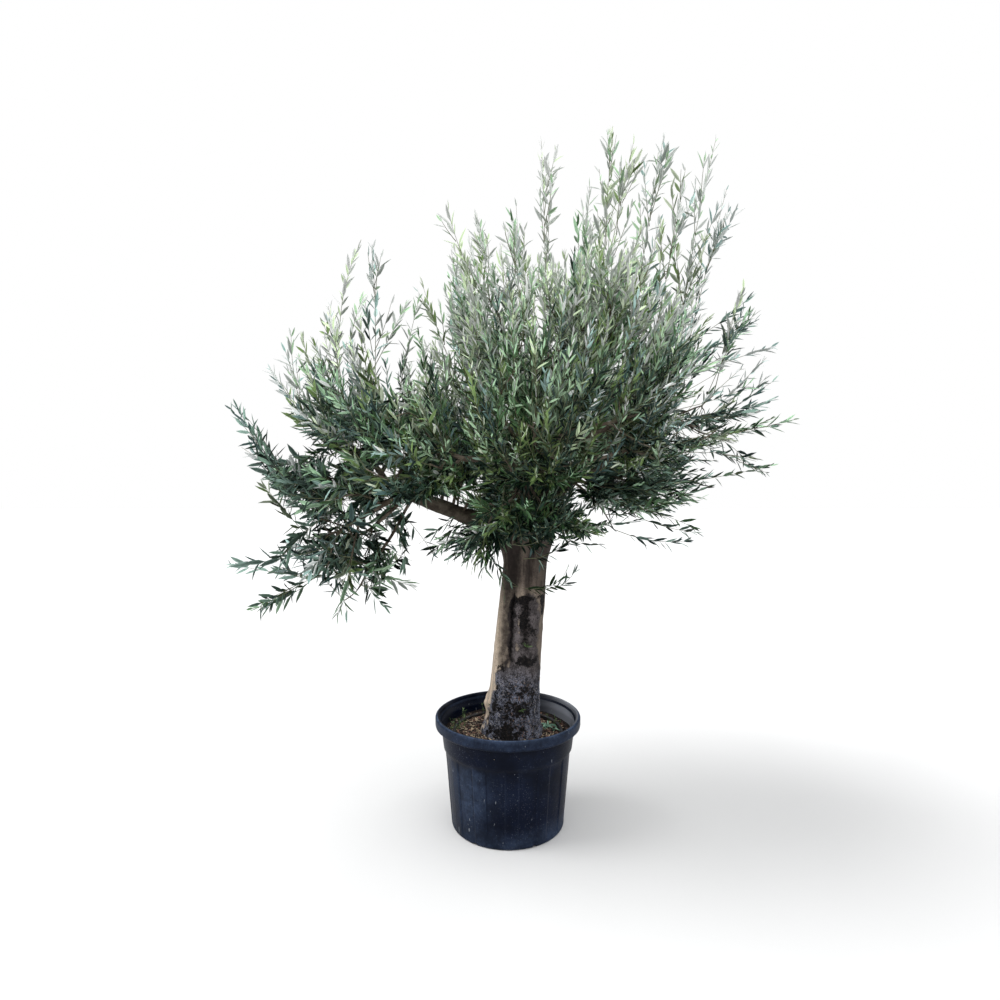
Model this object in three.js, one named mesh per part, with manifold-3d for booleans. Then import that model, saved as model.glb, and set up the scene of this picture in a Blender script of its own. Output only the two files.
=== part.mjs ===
// An olive tree in a round nursery pot: the pot, its root ball and drip ring, the trunk from the
// soil to its fork, five boughs, and the crown as masses of foliage with leafy shoots standing out.
// Millimetres, +Z up. The origin is the centre of the pot's flat underside, and -Y is the front.
import * as THREE from "three";
import { mergeVertices } from "three/addons/utils/BufferGeometryUtils.js";
import Module from "manifold-3d";

const wasm = await Module();
wasm.setup();

// ---- Driving dimensions ---------------------------------------------------------------------

const CLEARANCE = 0.4; // between any two pieces that touch
const WELD = 1e-3; // vertices nearer than this are one vertex
const FRONT = -90; // degrees from +X to the front

const POT = {
  height: 450,
  rimRadius: 300,
  rimInnerRadius: 281,
  rimHeight: 41, // the lip turns out over the wall and hangs this far down
  lip: 4,
  wall: 4.5,
  floor: 6,
  bandTopRadius: 276,
  bandFootRadius: 265.5,
  bandFoot: 322,
  stepHeight: 5,
  ribTopRadius: 259.5,
  footRadius: 232,
  footRounding: 9,
  ribs: 12,
  ribStart: -3, // degrees from the front to the edge of the first rib
  ribShare: 0.4, // share of the pitch that a rib takes; the rest is a recessed panel
  ribEdge: 1.35, // degrees that half of a rib's sloping edge takes
  ribRelief: 3,
  ribFoot: 26,
  ribTaper: 10, // height over which the ribs run out under the step
};

const NOTCH = { count: 6, firstAngle: -34, width: 16, height: 9, depth: 30 };

const SOIL = { level: 372, patchRadius: 138, relief: 8, bedDrop: 3, bedWidth: 26 };

const DRIP_RING = { radius: 222, tube: 5.5, sides: 5, segments: 24 };

const TRUNK = {
  foot: [17, 0],
  top: [90, 6],
  height: 890,
  footRadius: 104,
  waistRadius: 86,
  waist: 0.8, // share of the height where the trunk is slimmest
  forkRadius: 97,
  crotchRadius: 66,
  flare: 16,
  flareHeight: 55,
  bow: 8, // how far the middle stands out of the straight line
  flutes: 5,
  fluteDepth: 0.035,
  sides: 16,
  rings: 10,
};

const BURL = { height: 128, angle: 188, size: 17, spread: 50 };

const LIMB = { sides: 7, steps: 4 };

// Each bough runs from inside the fork, by a point that it bends through, to inside its mass.
const BOUGHS = {
  bough_left: { from: [40, -10, 1180], via: [-150, -45, 1262], to: [-420, -60, 1370], radii: [46, 25] },
  bough_right: { from: [90, -10, 1200], via: [150, -25, 1330], to: [330, -30, 1480], radii: [48, 29] },
  bough_rear: { from: [80, 30, 1200], via: [90, 130, 1330], to: [60, 380, 1500], radii: [43, 26] },
  bough_front: { from: [70, -20, 1200], via: [50, -120, 1330], to: [60, -370, 1480], radii: [36, 22] },
  bough_leader: { from: [72, 10, 1210], via: [70, 20, 1400], to: [120, 20, 1640], radii: [50, 33] },
};

// Each mass of foliage: centre, half sizes along X, Y and Z, and lean in degrees about Y.
const MASSES = {
  foliage_heart: { at: [110, 0, 1450], half: [330, 300, 215], lean: 0 },
  foliage_crown: { at: [170, 0, 1830], half: [430, 440, 280], lean: 0 },
  foliage_top: { at: [330, 20, 2160], half: [330, 390, 250], lean: -8 },
  foliage_shoulder: { at: [-30, 20, 2080], half: [265, 360, 270], lean: 6 },
  foliage_right: { at: [640, -20, 1850], half: [300, 330, 270], lean: -10 },
  foliage_right_tip: { at: [870, 0, 1690], half: [210, 260, 150], lean: -14 },
  foliage_right_low: { at: [560, -40, 1440], half: [300, 300, 165], lean: 4 },
  foliage_left: { at: [-620, 0, 1740], half: [305, 320, 245], lean: 4 },
  foliage_left_low: { at: [-680, -10, 1370], half: [345, 300, 195], lean: -4 },
  foliage_left_hang: { at: [-690, -20, 1085], half: [300, 220, 140], lean: 4 },
  foliage_saddle: { at: [-300, 0, 1630], half: [230, 340, 300], lean: 0 },
  foliage_front: { at: [120, -540, 1690], half: [350, 230, 330], lean: 0 },
  foliage_front_low: { at: [60, -480, 1310], half: [330, 230, 125], lean: 0 },
  foliage_front_left: { at: [-380, -460, 1530], half: [270, 230, 230], lean: 0 },
  foliage_front_right: { at: [560, -460, 1660], half: [270, 250, 270], lean: 0 },
  foliage_rear: { at: [110, 520, 1740], half: [370, 270, 390], lean: 0 },
  foliage_rear_low: { at: [40, 440, 1320], half: [340, 260, 150], lean: 0 },
  foliage_rear_left: { at: [-390, 450, 1590], half: [290, 260, 280], lean: 0 },
  foliage_rear_right: { at: [560, 450, 1710], half: [290, 270, 310], lean: 0 },
  foliage_under: { at: [-150, -110, 1150], half: [170, 160, 95], lean: 10 },
};

const LOBES = { count: 8, height: 0.42, spread: 0.09, slices: 10, rings: 7 };

// Leafy shoots that stand out of the crown: where each starts inside a mass, and its tip.
const SHOOTS = {
  shoot_top_1: { from: [60, 160, 2150], to: [37, 200, 2638], radius: 55 },
  shoot_top_2: { from: [150, -40, 2150], to: [131, -60, 2778], radius: 55 },
  shoot_top_3: { from: [320, 190, 2230], to: [367, 240, 2737], radius: 60 },
  shoot_top_4: { from: [400, 40, 2250], to: [433, 60, 2880], radius: 68 },
  shoot_top_5: { from: [420, -120, 2200], to: [474, -180, 2704], radius: 65 },
  shoot_top_6: { from: [540, 60, 2150], to: [659, 100, 2877], radius: 65 },
  shoot_top_7: { from: [560, -130, 2080], to: [667, -200, 2602], radius: 58 },
  shoot_top_8: { from: [690, 0, 2000], to: [845, 0, 2807], radius: 60 },
  shoot_top_9: { from: [760, 120, 1960], to: [956, 180, 2697], radius: 50 },
  shoot_shoulder_1: { from: [-130, -80, 2110], to: [-238, -120, 2480], radius: 52 },
  shoot_shoulder_2: { from: [-80, 140, 2200], to: [-143, 220, 2601], radius: 50 },
  shoot_shoulder_3: { from: [-230, 30, 1850], to: [-367, 60, 2263], radius: 58 },
  shoot_left_1: { from: [-560, 0, 1850], to: [-555, 0, 2385], radius: 55 },
  shoot_left_2: { from: [-690, 90, 1790], to: [-768, 150, 2176], radius: 55 },
  shoot_left_3: { from: [-760, -40, 1740], to: [-871, -60, 2018], radius: 50 },
  shoot_left_4: { from: [-880, 0, 1370], to: [-1150, 0, 1727], radius: 55 },
  shoot_left_5: { from: [-820, -60, 1080], to: [-1104, -60, 1075], radius: 50 },
  shoot_left_6: { from: [-780, -90, 1050], to: [-1022, -120, 905], radius: 50 },
  shoot_left_7: { from: [-650, -60, 1040], to: [-640, -80, 870], radius: 60 },
  shoot_right_1: { from: [790, -60, 1850], to: [938, -80, 2193], radius: 58 },
  shoot_right_2: { from: [830, 60, 1800], to: [1035, 100, 2150], radius: 55 },
  shoot_right_3: { from: [900, 60, 1700], to: [1152, 120, 1850], radius: 58 },
  shoot_right_4: { from: [900, -80, 1680], to: [1140, -120, 1660], radius: 55 },
  shoot_right_5: { from: [850, 0, 1580], to: [1080, 0, 1443], radius: 58 },
  shoot_right_6: { from: [580, -120, 1380], to: [735, -150, 1225], radius: 55 },
  shoot_front_1: { from: [40, -480, 1920], to: [10, -520, 2260], radius: 58 },
  shoot_front_2: { from: [420, -440, 1840], to: [480, -520, 2190], radius: 58 },
  shoot_rear_1: { from: [60, 520, 2050], to: [10, 580, 2420], radius: 60 },
  shoot_rear_2: { from: [480, 480, 1950], to: [560, 560, 2400], radius: 60 },
  shoot_rear_3: { from: [-380, 480, 1800], to: [-440, 560, 2160], radius: 58 },
};

const SHOOT = { sides: 5, steps: 3, bow: 0.06 };

// ---- Materials ------------------------------------------------------------------------------

const matter = (color, roughness) => new THREE.MeshStandardMaterial({ color, roughness, metalness: 0 });

const MATERIALS = {
  pot: matter("#16181c", 0.55),
  soil: matter("#4b3426", 0.95),
  tube: matter("#101113", 0.5),
  bark: matter("#6d5b4b", 0.9),
  leaf: matter("#6f7f5c", 0.7),
};

// ---- Tools ----------------------------------------------------------------------------------

const degrees = THREE.MathUtils.degToRad;
const lerp = THREE.MathUtils.lerp;
const smooth = THREE.MathUtils.smoothstep;

/** A repeatable stream of numbers from 0 to 1 for one seed. */
function numbersFrom(seed) {
  let state = seed * 2654435761;
  return () => {
    state = (state + 0x6d2b79f5) | 0;
    let mixed = Math.imul(state ^ (state >>> 15), 1 | state);
    mixed = (mixed + Math.imul(mixed ^ (mixed >>> 7), 61 | mixed)) ^ mixed;
    return ((mixed ^ (mixed >>> 14)) >>> 0) / 4294967296;
  };
}

/** The solid inside a closed three.js geometry. */
function solidOf(geometry) {
  const bare = geometry.clone();
  bare.deleteAttribute("normal");
  bare.deleteAttribute("uv");
  const welded = mergeVertices(bare, WELD);
  const corners = welded.index.array;
  const kept = [];
  for (let i = 0; i < corners.length; i += 3) {
    const [a, b, c] = corners.slice(i, i + 3);
    if (a !== b && b !== c && c !== a) kept.push(a, b, c);
  }
  const vertProperties = welded.attributes.position.array;
  return new wasm.Manifold(new wasm.Mesh({ numProp: 3, vertProperties, triVerts: Uint32Array.from(kept) }));
}

/** A solid's largest connected piece, as a named mesh. */
function meshOf(name, solid, material) {
  const largest = solid.decompose().reduce((best, piece) => (piece.volume() > best.volume() ? piece : best));
  const { vertProperties, triVerts } = largest.getMesh();
  const geometry = new THREE.BufferGeometry();
  geometry.setAttribute("position", new THREE.BufferAttribute(vertProperties, 3));
  geometry.setIndex(new THREE.BufferAttribute(triVerts, 1));
  geometry.computeVertexNormals();
  const mesh = new THREE.Mesh(geometry, material);
  mesh.name = name;
  return mesh;
}

/** Moves every vertex of a geometry by a function of its place. */
function reshape(geometry, move) {
  const place = geometry.attributes.position;
  const point = new THREE.Vector3();
  for (let i = 0; i < place.count; i += 1) {
    point.fromBufferAttribute(place, i);
    move(point);
    place.setXYZ(i, point.x, point.y, point.z);
  }
  return geometry;
}

/** A cylinder bent along a curve, with its radius given at each share of the length. */
function taperAlong(curve, radiusAt, sides, steps) {
  const frames = curve.computeFrenetFrames(steps, false);
  return reshape(new THREE.CylinderGeometry(1, 1, 1, sides, steps), (point) => {
    const share = point.y + 0.5;
    const step = Math.round(share * steps);
    const across = frames.normals[step].clone().multiplyScalar(point.x);
    const sideways = frames.binormals[step].clone().multiplyScalar(-point.z);
    point.copy(across.add(sideways).multiplyScalar(radiusAt(share))).add(curve.getPointAt(share));
  });
}

const vector = (numbers) => new THREE.Vector3(...numbers);

// ---- Pot ------------------------------------------------------------------------------------

/** Radius of the pot's outer wall at a height, over its ribs. */
function wallRadius(height) {
  if (height >= POT.bandFoot) {
    const share = (height - POT.bandFoot) / (POT.height - POT.rimHeight - POT.bandFoot);
    return lerp(POT.bandFootRadius, POT.bandTopRadius, share);
  }
  return lerp(POT.footRadius, POT.ribTopRadius, height / POT.bandFoot);
}

/** Half profile of the pot, from the middle of its underside round the rim to the inside floor. */
function potProfile() {
  const { height, rimRadius, rimInnerRadius, lip, wall, floor, footRounding } = POT;
  const lipFoot = height - POT.rimHeight;
  const stepFoot = POT.bandFoot - POT.stepHeight;
  const corner = wallRadius(footRounding) - footRounding;
  const rounding = [0, 45, 90].map((turn) => [
    corner + footRounding * Math.sin(degrees(turn)),
    footRounding * (1 - Math.cos(degrees(turn))),
  ]);
  const levels = [POT.ribFoot, stepFoot - POT.ribTaper, stepFoot, POT.bandFoot, lipFoot];
  const outerWall = levels.map((level) => [wallRadius(level), level]);
  const underLip = [
    [rimInnerRadius + 3, height - lip - 5],
    [rimRadius - lip - 4, height - lip - 5],
    [rimRadius - lip - 3, lipFoot],
  ];
  const overLip = [
    [rimRadius - 3, lipFoot],
    [rimRadius, height - 22],
    [rimRadius - 3, height - 7],
    [(rimRadius + rimInnerRadius) / 2 + 2, height],
    [rimInnerRadius - 2, height - 6],
  ];
  const innerWall = [
    [wallRadius(lipFoot) - wall, lipFoot],
    [wallRadius(POT.bandFoot) - wall, POT.bandFoot],
    [innerRadius(stepFoot), stepFoot],
    [innerRadius(floor), floor],
  ];
  return [[0, 0], ...rounding, ...outerWall, ...underLip, ...overLip, ...innerWall, [0, floor]];
}

/** Radius of the pot's inner face below the band, clear of the recessed panels. */
function innerRadius(height) {
  return wallRadius(height) - POT.wall - POT.ribRelief;
}

/** How far the ribs stand out of the panels at a height, from 0 to 1. */
function ribRise(height) {
  const stepFoot = POT.bandFoot - POT.stepHeight;
  const rising = smooth(height, POT.footRounding, POT.ribFoot);
  const falling = smooth(height, stepFoot - POT.ribTaper, stepFoot);
  return rising - falling;
}

/** A turned shape with the pot's facets: two corners to a rib and two to the panel beside it. */
function turnedInRibs(profile, recessAt) {
  const points = profile.map(([radius, height]) => new THREE.Vector2(radius, height));
  const pitch = 360 / POT.ribs;
  const width = pitch * POT.ribShare;
  const corners = [POT.ribEdge, width - POT.ribEdge, width + POT.ribEdge, pitch - POT.ribEdge];
  const turned = new THREE.LatheGeometry(points, POT.ribs * corners.length).rotateX(Math.PI / 2);
  return reshape(turned, (point) => {
    const radius = Math.hypot(point.x, point.y);
    if (radius < 1) return;
    const turn = Math.atan2(point.y, point.x) / (2 * Math.PI);
    const step = Math.round(turn * POT.ribs * corners.length);
    const rib = Math.floor(step / corners.length);
    const corner = step - rib * corners.length;
    const angle = degrees(FRONT + POT.ribStart + rib * pitch + corners[corner]);
    const depth = corner < corners.length / 2 ? 0 : recessAt(radius, point.z);
    point.x = (radius - depth) * Math.cos(angle);
    point.y = (radius - depth) * Math.sin(angle);
  });
}

/** The pot: a thin turned shell whose lower wall is pressed into ribs and recessed panels. */
function potSolid() {
  const shaped = turnedInRibs(potProfile(), (radius, height) => {
    const outside = radius > innerRadius(height) + POT.wall / 2;
    return outside ? POT.ribRelief * ribRise(height) : 0;
  });
  let pot = solidOf(shaped);
  for (let i = 0; i < NOTCH.count; i += 1) {
    const angle = degrees(FRONT + NOTCH.firstAngle + (360 / NOTCH.count) * i);
    const block = new THREE.BoxGeometry(NOTCH.depth, NOTCH.width, NOTCH.height * 2);
    block.translate(POT.footRadius, 0, 0).rotateZ(angle);
    pot = pot.subtract(solidOf(block));
  }
  return pot;
}

// ---- Root ball and drip ring ----------------------------------------------------------------

/** The root ball: soil and roots that fill the pot, level under the trunk and uneven round it. */
function rootBallSolid() {
  const bed = SOIL.level - SOIL.bedDrop;
  const stepFoot = POT.bandFoot - POT.stepHeight;
  const wallAt = (height) => wallRadius(height) - POT.wall - CLEARANCE;
  const profile = [
    [0, POT.floor + CLEARANCE],
    [innerRadius(POT.floor) - CLEARANCE, POT.floor + CLEARANCE],
    [innerRadius(stepFoot) - CLEARANCE, stepFoot],
    [wallAt(bed - 2 * SOIL.relief), bed],
    [DRIP_RING.radius + SOIL.bedWidth / 2, bed],
    [DRIP_RING.radius - SOIL.bedWidth / 2, bed],
    [(DRIP_RING.radius + SOIL.patchRadius) / 2 - 5, bed],
    [SOIL.patchRadius, SOIL.level],
    [0, SOIL.level],
  ];
  const turned = turnedInRibs(profile, () => 0);
  const heaped = reshape(turned, (point) => {
    const radius = Math.hypot(point.x, point.y);
    const offBed = Math.abs(radius - DRIP_RING.radius) > SOIL.bedWidth / 2 + 1;
    if (point.z < bed - 1 || radius < SOIL.patchRadius + 5 || !offBed) return;
    const angle = Math.atan2(point.y, point.x);
    point.z += SOIL.relief * (Math.sin(3 * angle + 0.6) * 0.6 + Math.sin(7 * angle + radius / 40) * 0.4);
  });
  return solidOf(heaped);
}

/** The drip ring: one hoop of thin tube that lies on the soil. */
function dripRingSolid() {
  const { radius, tube, sides, segments } = DRIP_RING;
  const hoop = new THREE.TorusGeometry(radius, tube, sides, segments);
  hoop.translate(0, 0, SOIL.level - SOIL.bedDrop + tube + CLEARANCE);
  return solidOf(hoop);
}

// ---- Trunk and boughs -----------------------------------------------------------------------

/** Radius of the trunk at a share of its height, before flutes and burl. */
function trunkRadius(share) {
  const { footRadius, waistRadius, waist, forkRadius, crotchRadius, flare, flareHeight, height } = TRUNK;
  const tapered = lerp(footRadius, waistRadius, Math.min(share / waist, 1));
  const swelling = (forkRadius - waistRadius) * smooth(share, waist, 0.93);
  const closing = (forkRadius - crotchRadius) * smooth(share, 0.93, 1);
  return tapered + swelling - closing + flare * Math.exp((-share * height) / flareHeight);
}

/** Middle of the trunk at a share of its height. */
function trunkMiddle(share) {
  const { foot, top, bow, height } = TRUNK;
  const x = lerp(foot[0], top[0], share) - bow * Math.sin(Math.PI * share);
  return new THREE.Vector3(x, lerp(foot[1], top[1], share), SOIL.level + CLEARANCE + share * height);
}

/** The trunk: level sections that lean, taper and flare, fluted and with a burl near the foot. */
function trunkSolid(extra) {
  const column = new THREE.CylinderGeometry(1, 1, 1, TRUNK.sides, TRUNK.rings).rotateX(Math.PI / 2);
  const shaped = reshape(column, (point) => {
    const share = point.z + 0.5;
    const angle = Math.atan2(point.y, point.x);
    const middle = trunkMiddle(share);
    const turn = angle - degrees(BURL.angle);
    const around = Math.atan2(Math.sin(turn), Math.cos(turn)) * TRUNK.footRadius;
    const off = Math.hypot(around, share * TRUNK.height - BURL.height) / BURL.spread;
    const flute = 1 + TRUNK.fluteDepth * Math.cos(TRUNK.flutes * angle + 2.2 * share);
    const radius = trunkRadius(share) * flute + BURL.size * Math.exp(-off * off) + extra;
    const onAxis = Math.hypot(point.x, point.y) < 0.5;
    const end = share === 0 ? -extra : extra * (share === 1 ? 1 : 0);
    const reach = onAxis ? 0 : radius;
    point.set(middle.x + reach * Math.cos(angle), middle.y + reach * Math.sin(angle), middle.z + end);
  });
  return solidOf(shaped);
}

/** A bough: one tapering limb that bends through its middle point, swelled and lengthened by extra. */
function boughSolid({ from, via, to, radii }, extra) {
  const beyond = vector(to).sub(vector(via)).setLength(extra);
  const curve = new THREE.CatmullRomCurve3([vector(from), vector(via), vector(to).add(beyond)]);
  const radiusAt = (share) => lerp(radii[0], radii[1], share) + extra;
  return solidOf(taperAlong(curve, radiusAt, LIMB.sides, LIMB.steps));
}

// ---- Foliage --------------------------------------------------------------------------------

/** A mass of foliage: a ball swelled to its half sizes and by extra, with lobes in seeded directions. */
function massSolid({ at, half, lean }, seed, extra) {
  const random = numbersFrom(seed);
  const lobes = [];
  for (let i = 0; i < LOBES.count; i += 1) {
    const direction = new THREE.Vector3().setFromSphericalCoords(
      1,
      Math.acos(1 - 2 * ((i + random()) / LOBES.count)),
      2 * Math.PI * random(),
    );
    lobes.push({ direction, height: LOBES.height * (0.4 + 0.6 * random()) });
  }
  const ball = reshape(new THREE.SphereGeometry(1, LOBES.slices, LOBES.rings), (point) => {
    let swell = 1 - LOBES.height * 0.35;
    for (const { direction, height } of lobes) {
      swell += height * Math.exp((point.dot(direction) - 1) / LOBES.spread);
    }
    point.multiplyScalar(swell).multiply(vector(half).addScalar(2 * extra));
  });
  ball.rotateY(degrees(lean)).translate(...at);
  return solidOf(ball);
}

/** Distance from a mass's centre to its plain ellipsoid's surface in one direction. */
function extentToward({ half, lean }, direction) {
  const local = direction.clone().applyAxisAngle(new THREE.Vector3(0, 1, 0), -degrees(lean));
  return 1 / local.divide(vector(half)).length();
}

/** Parts every two masses that meet with a plane between them, each side of it lacking half a gap. */
function partMasses(masses, halfGap) {
  const names = Object.keys(masses);
  names.forEach((first, i) => {
    for (const second of names.slice(i + 1)) {
      const start = vector(MASSES[first].at);
      const normal = vector(MASSES[second].at).sub(start);
      const distance = normal.length();
      normal.normalize();
      const reach = extentToward(MASSES[first], normal);
      const back = distance - extentToward(MASSES[second], normal);
      if (masses[first].intersect(masses[second]).volume() === 0) continue;
      const offset = start.dot(normal) + (reach + back) / 2;
      const away = normal.clone().negate();
      masses[first] = masses[first].trimByPlane(away.toArray(), -offset + halfGap);
      masses[second] = masses[second].trimByPlane(normal.toArray(), offset + halfGap);
    }
  });
}

/** All the masses, parted from each other, each swelled by extra. */
function massSolids(extra) {
  const masses = {};
  Object.entries(MASSES).forEach(([name, mass], i) => {
    masses[name] = massSolid(mass, i + 1, extra);
  });
  partMasses(masses, CLEARANCE / 2 - extra);
  return masses;
}

/** A leafy shoot: a slim spindle, swelled by extra, that bows a little and narrows to its tip. */
function shootSolid({ from, to, radius }, seed, extra) {
  const random = numbersFrom(seed);
  const start = vector(from);
  const end = vector(to);
  const length = start.distanceTo(end);
  const middle = start.clone().lerp(end, 0.5);
  middle.x += (random() - 0.5) * 2 * SHOOT.bow * length;
  middle.y += (random() - 0.5) * 2 * SHOOT.bow * length;
  const curve = new THREE.CatmullRomCurve3([start, middle, end]);
  const plump = (share) => radius * (1 - 0.8 * share ** 1.6) * (1 + 0.12 * Math.sin(9 * share + seed));
  const radiusAt = (share) => plump(share) + extra;
  return solidOf(taperAlong(curve, radiusAt, SHOOT.sides, SHOOT.steps));
}

// ---- The tree -------------------------------------------------------------------------------

const tree = new THREE.Group();
tree.add(meshOf("pot", potSolid(), MATERIALS.pot));
tree.add(meshOf("root_ball", rootBallSolid(), MATERIALS.soil));
tree.add(meshOf("drip_ring", dripRingSolid(), MATERIALS.tube));
tree.add(meshOf("trunk", trunkSolid(0), MATERIALS.bark));

let taken = trunkSolid(CLEARANCE); // everything so far that later pieces keep clear of
for (const [name, bough] of Object.entries(BOUGHS)) {
  tree.add(meshOf(name, boughSolid(bough, 0).subtract(taken), MATERIALS.bark));
  taken = taken.add(boughSolid(bough, CLEARANCE));
}

for (const [name, solid] of Object.entries(massSolids(0))) {
  tree.add(meshOf(name, solid.subtract(taken), MATERIALS.leaf));
}
for (const solid of Object.values(massSolids(CLEARANCE))) {
  taken = taken.add(solid);
}

Object.entries(SHOOTS).forEach(([name, shoot], i) => {
  tree.add(meshOf(name, shootSolid(shoot, i + 1, 0).subtract(taken), MATERIALS.leaf));
  taken = taken.add(shootSolid(shoot, i + 1, CLEARANCE));
});

export default tree;
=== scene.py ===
"""The looks of a potted olive tree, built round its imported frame.

The file is laid out as an add-on and is run as a script. Sizes are metres, Z is up, and the tree's front
faces -Y. An angle on the trunk or the pot is measured from the front, and grows towards +X.
"""

import itertools
import math
from functools import lru_cache

import bpy
import numpy as np
from mathutils import Euler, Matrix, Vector


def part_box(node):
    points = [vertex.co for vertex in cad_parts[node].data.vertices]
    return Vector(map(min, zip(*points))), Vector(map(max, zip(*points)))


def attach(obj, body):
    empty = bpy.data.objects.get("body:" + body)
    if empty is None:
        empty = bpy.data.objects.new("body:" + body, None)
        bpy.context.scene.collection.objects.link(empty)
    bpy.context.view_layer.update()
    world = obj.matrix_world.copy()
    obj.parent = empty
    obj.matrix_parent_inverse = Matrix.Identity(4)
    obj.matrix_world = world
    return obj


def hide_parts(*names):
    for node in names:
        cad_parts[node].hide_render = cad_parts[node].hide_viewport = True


bl_info = {
    "name": "Potted Olive Tree",
    "version": (1, 0, 0),
    "blender": (4, 5, 0),
    "location": "View3D > Sidebar > Olive",
    "description": "Builds a potted olive tree: pot, soil, trunk, branches and leaves",
    "category": "Add Mesh",
}

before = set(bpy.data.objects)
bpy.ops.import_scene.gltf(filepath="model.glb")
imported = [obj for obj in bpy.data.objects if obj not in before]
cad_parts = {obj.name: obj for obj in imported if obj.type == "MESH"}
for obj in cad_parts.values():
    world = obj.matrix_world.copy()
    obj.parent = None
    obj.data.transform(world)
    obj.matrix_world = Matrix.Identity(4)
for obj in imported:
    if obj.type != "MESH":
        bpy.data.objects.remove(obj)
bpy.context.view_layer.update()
POT_LOW, POT_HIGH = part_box("pot")
MASSES = sorted(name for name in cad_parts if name.startswith("foliage_"))
SHOOTS = sorted(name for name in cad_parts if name.startswith("shoot_"))
BOUGHS = sorted(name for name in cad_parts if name.startswith("bough_"))
BODY = "root"
UP = np.array([0.0, 0.0, 1.0])


# ---- Properties -----------------------------------------------------------------------------

def length(name, default, description):
    """A length in metres."""
    return bpy.props.FloatProperty(
        name=name, description=description, default=default, unit="LENGTH", precision=4)


def turn(name, default, description):
    """An angle, with its default in degrees."""
    return bpy.props.FloatProperty(
        name=name, description=description, default=math.radians(default), subtype="ANGLE")


def share(name, default, description):
    """A part of a whole, from 0 to 1."""
    return bpy.props.FloatProperty(
        name=name, description=description, default=default, min=0.0, max=1.0, subtype="FACTOR")


def count(name, default, description):
    """A number of like things, or the seed of the random numbers."""
    return bpy.props.IntProperty(name=name, description=description, default=default, min=0)


def plain(name, default, description):
    """A number without a unit."""
    return bpy.props.FloatProperty(name=name, description=description, default=default)


def colour(name, default, description):
    """A colour whose default is red, green and blue from 0 to 255 as a screen shows them.

    The standard screen curve turns each into an amount of light: level / 12.92 up to 0.04045, and
    ((level + 0.055) / 1.055)^2.4 above.
    """
    level = np.array(default) / 255
    linear = np.where(level > 0.04045, ((level + 0.055) / 1.055) ** 2.4, level / 12.92)
    return bpy.props.FloatVectorProperty(
        name=name, description=description, default=tuple(linear), size=3, min=0.0, max=1.0,
        subtype="COLOR")


class OlivePot(bpy.types.PropertyGroup):
    """Sizes and colours of the nursery pot."""
    height: length("Height", POT_HIGH.z, "From the floor to the top of the rim")
    rim_radius: length("Rim radius", POT_HIGH.x, "Outside of the turned rim")
    rim_inner: length("Rim opening", 0.281, "Inside of the turned rim")
    rim_drop: length("Rim drop", 0.041, "How far the turned rim hangs down")
    wall: length("Wall", 0.0045, "Thickness of the wall")
    floor: length("Floor", 0.006, "Thickness of the floor")
    band_top: length("Band radius, top", 0.276, "Outside of the plain band under the rim")
    band_foot: length("Band radius, foot", 0.2655, "Outside of the plain band at its foot")
    band_level: length("Band level", 0.322, "Height of the plain band's foot")
    step: length("Step", 0.005, "Height of the step under the plain band")
    rib_top: length("Rib radius, top", 0.2595, "Outside of the ribs under the step")
    foot_radius: length("Foot radius", 0.232, "Outside of the ribs at the floor")
    foot_rounding: length("Foot rounding", 0.009, "Radius of the rounded foot")
    ribs: count("Ribs", 12, "Raised ribs round the lower wall")
    rib_share: share("Rib share", 0.4, "Part of the pitch that a raised rib takes")
    rib_start: turn("First rib", -3.0, "Angle from the front to the first rib's edge")
    rib_relief: length("Rib relief", 0.003, "How far a rib stands out")
    notches: count("Notches", 6, "Drain notches in the foot")
    notch_start: turn("First notch", -34.0, "Angle from the front to the first notch")
    notch_width: length("Notch width", 0.016, "Width of a drain notch")
    notch_height: length("Notch height", 0.009, "Height of a drain notch")
    plastic: colour("Plastic", (3, 13, 35), "The moulded plastic")
    plastic_dark: colour("Plastic, shaded", (0, 5, 21), "The plastic where it has kept its gloss")
    # These two colours also paint the highlights on the rib edges and the rim's top, and the light inside at
    # the right.
    dust: colour("Dust", (72, 87, 112), "Dust and lime on the outside")
    dust_inside: colour("Dust, inside", (160, 164, 174), "Dry soil and lime on the inner wall")
    speck: colour("Specks", (150, 156, 164), "Pale splashes and scratches")


class OliveSoil(bpy.types.PropertyGroup):
    """Sizes and colours of the soil, its litter, the drip ring and the weeds."""
    relief: length("Relief", 0.006, "How uneven the soil is")
    chips: count("Chips", 4200, "Bark crumbs on the soil")
    straws: count("Straws", 1000, "Straws and thin twigs on the soil")
    seed: count("Seed", 5, "Seed of the litter's random places")
    earth: colour("Earth", (47, 41, 39), "Damp soil")
    earth_dark: colour("Earth, damp", (21, 18, 18), "Soil in the hollows")
    crumb: colour("Crumbs", (78, 67, 61), "Bark crumbs")
    crumb_red: colour("Red crumbs", (120, 92, 80), "Red bark chips")
    straw: colour("Straw", (206, 186, 158), "Straw and dry grass")
    grit: colour("Grit", (150, 146, 140), "Pale grit")
    tube: colour("Drip tube", (34, 38, 44), "The drip ring's plastic")
    weed: colour("Weeds", (78, 102, 58), "Small weeds")
    weed_broad: colour("Broad weed", (104, 146, 122), "The broad-leaved weed")


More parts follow.
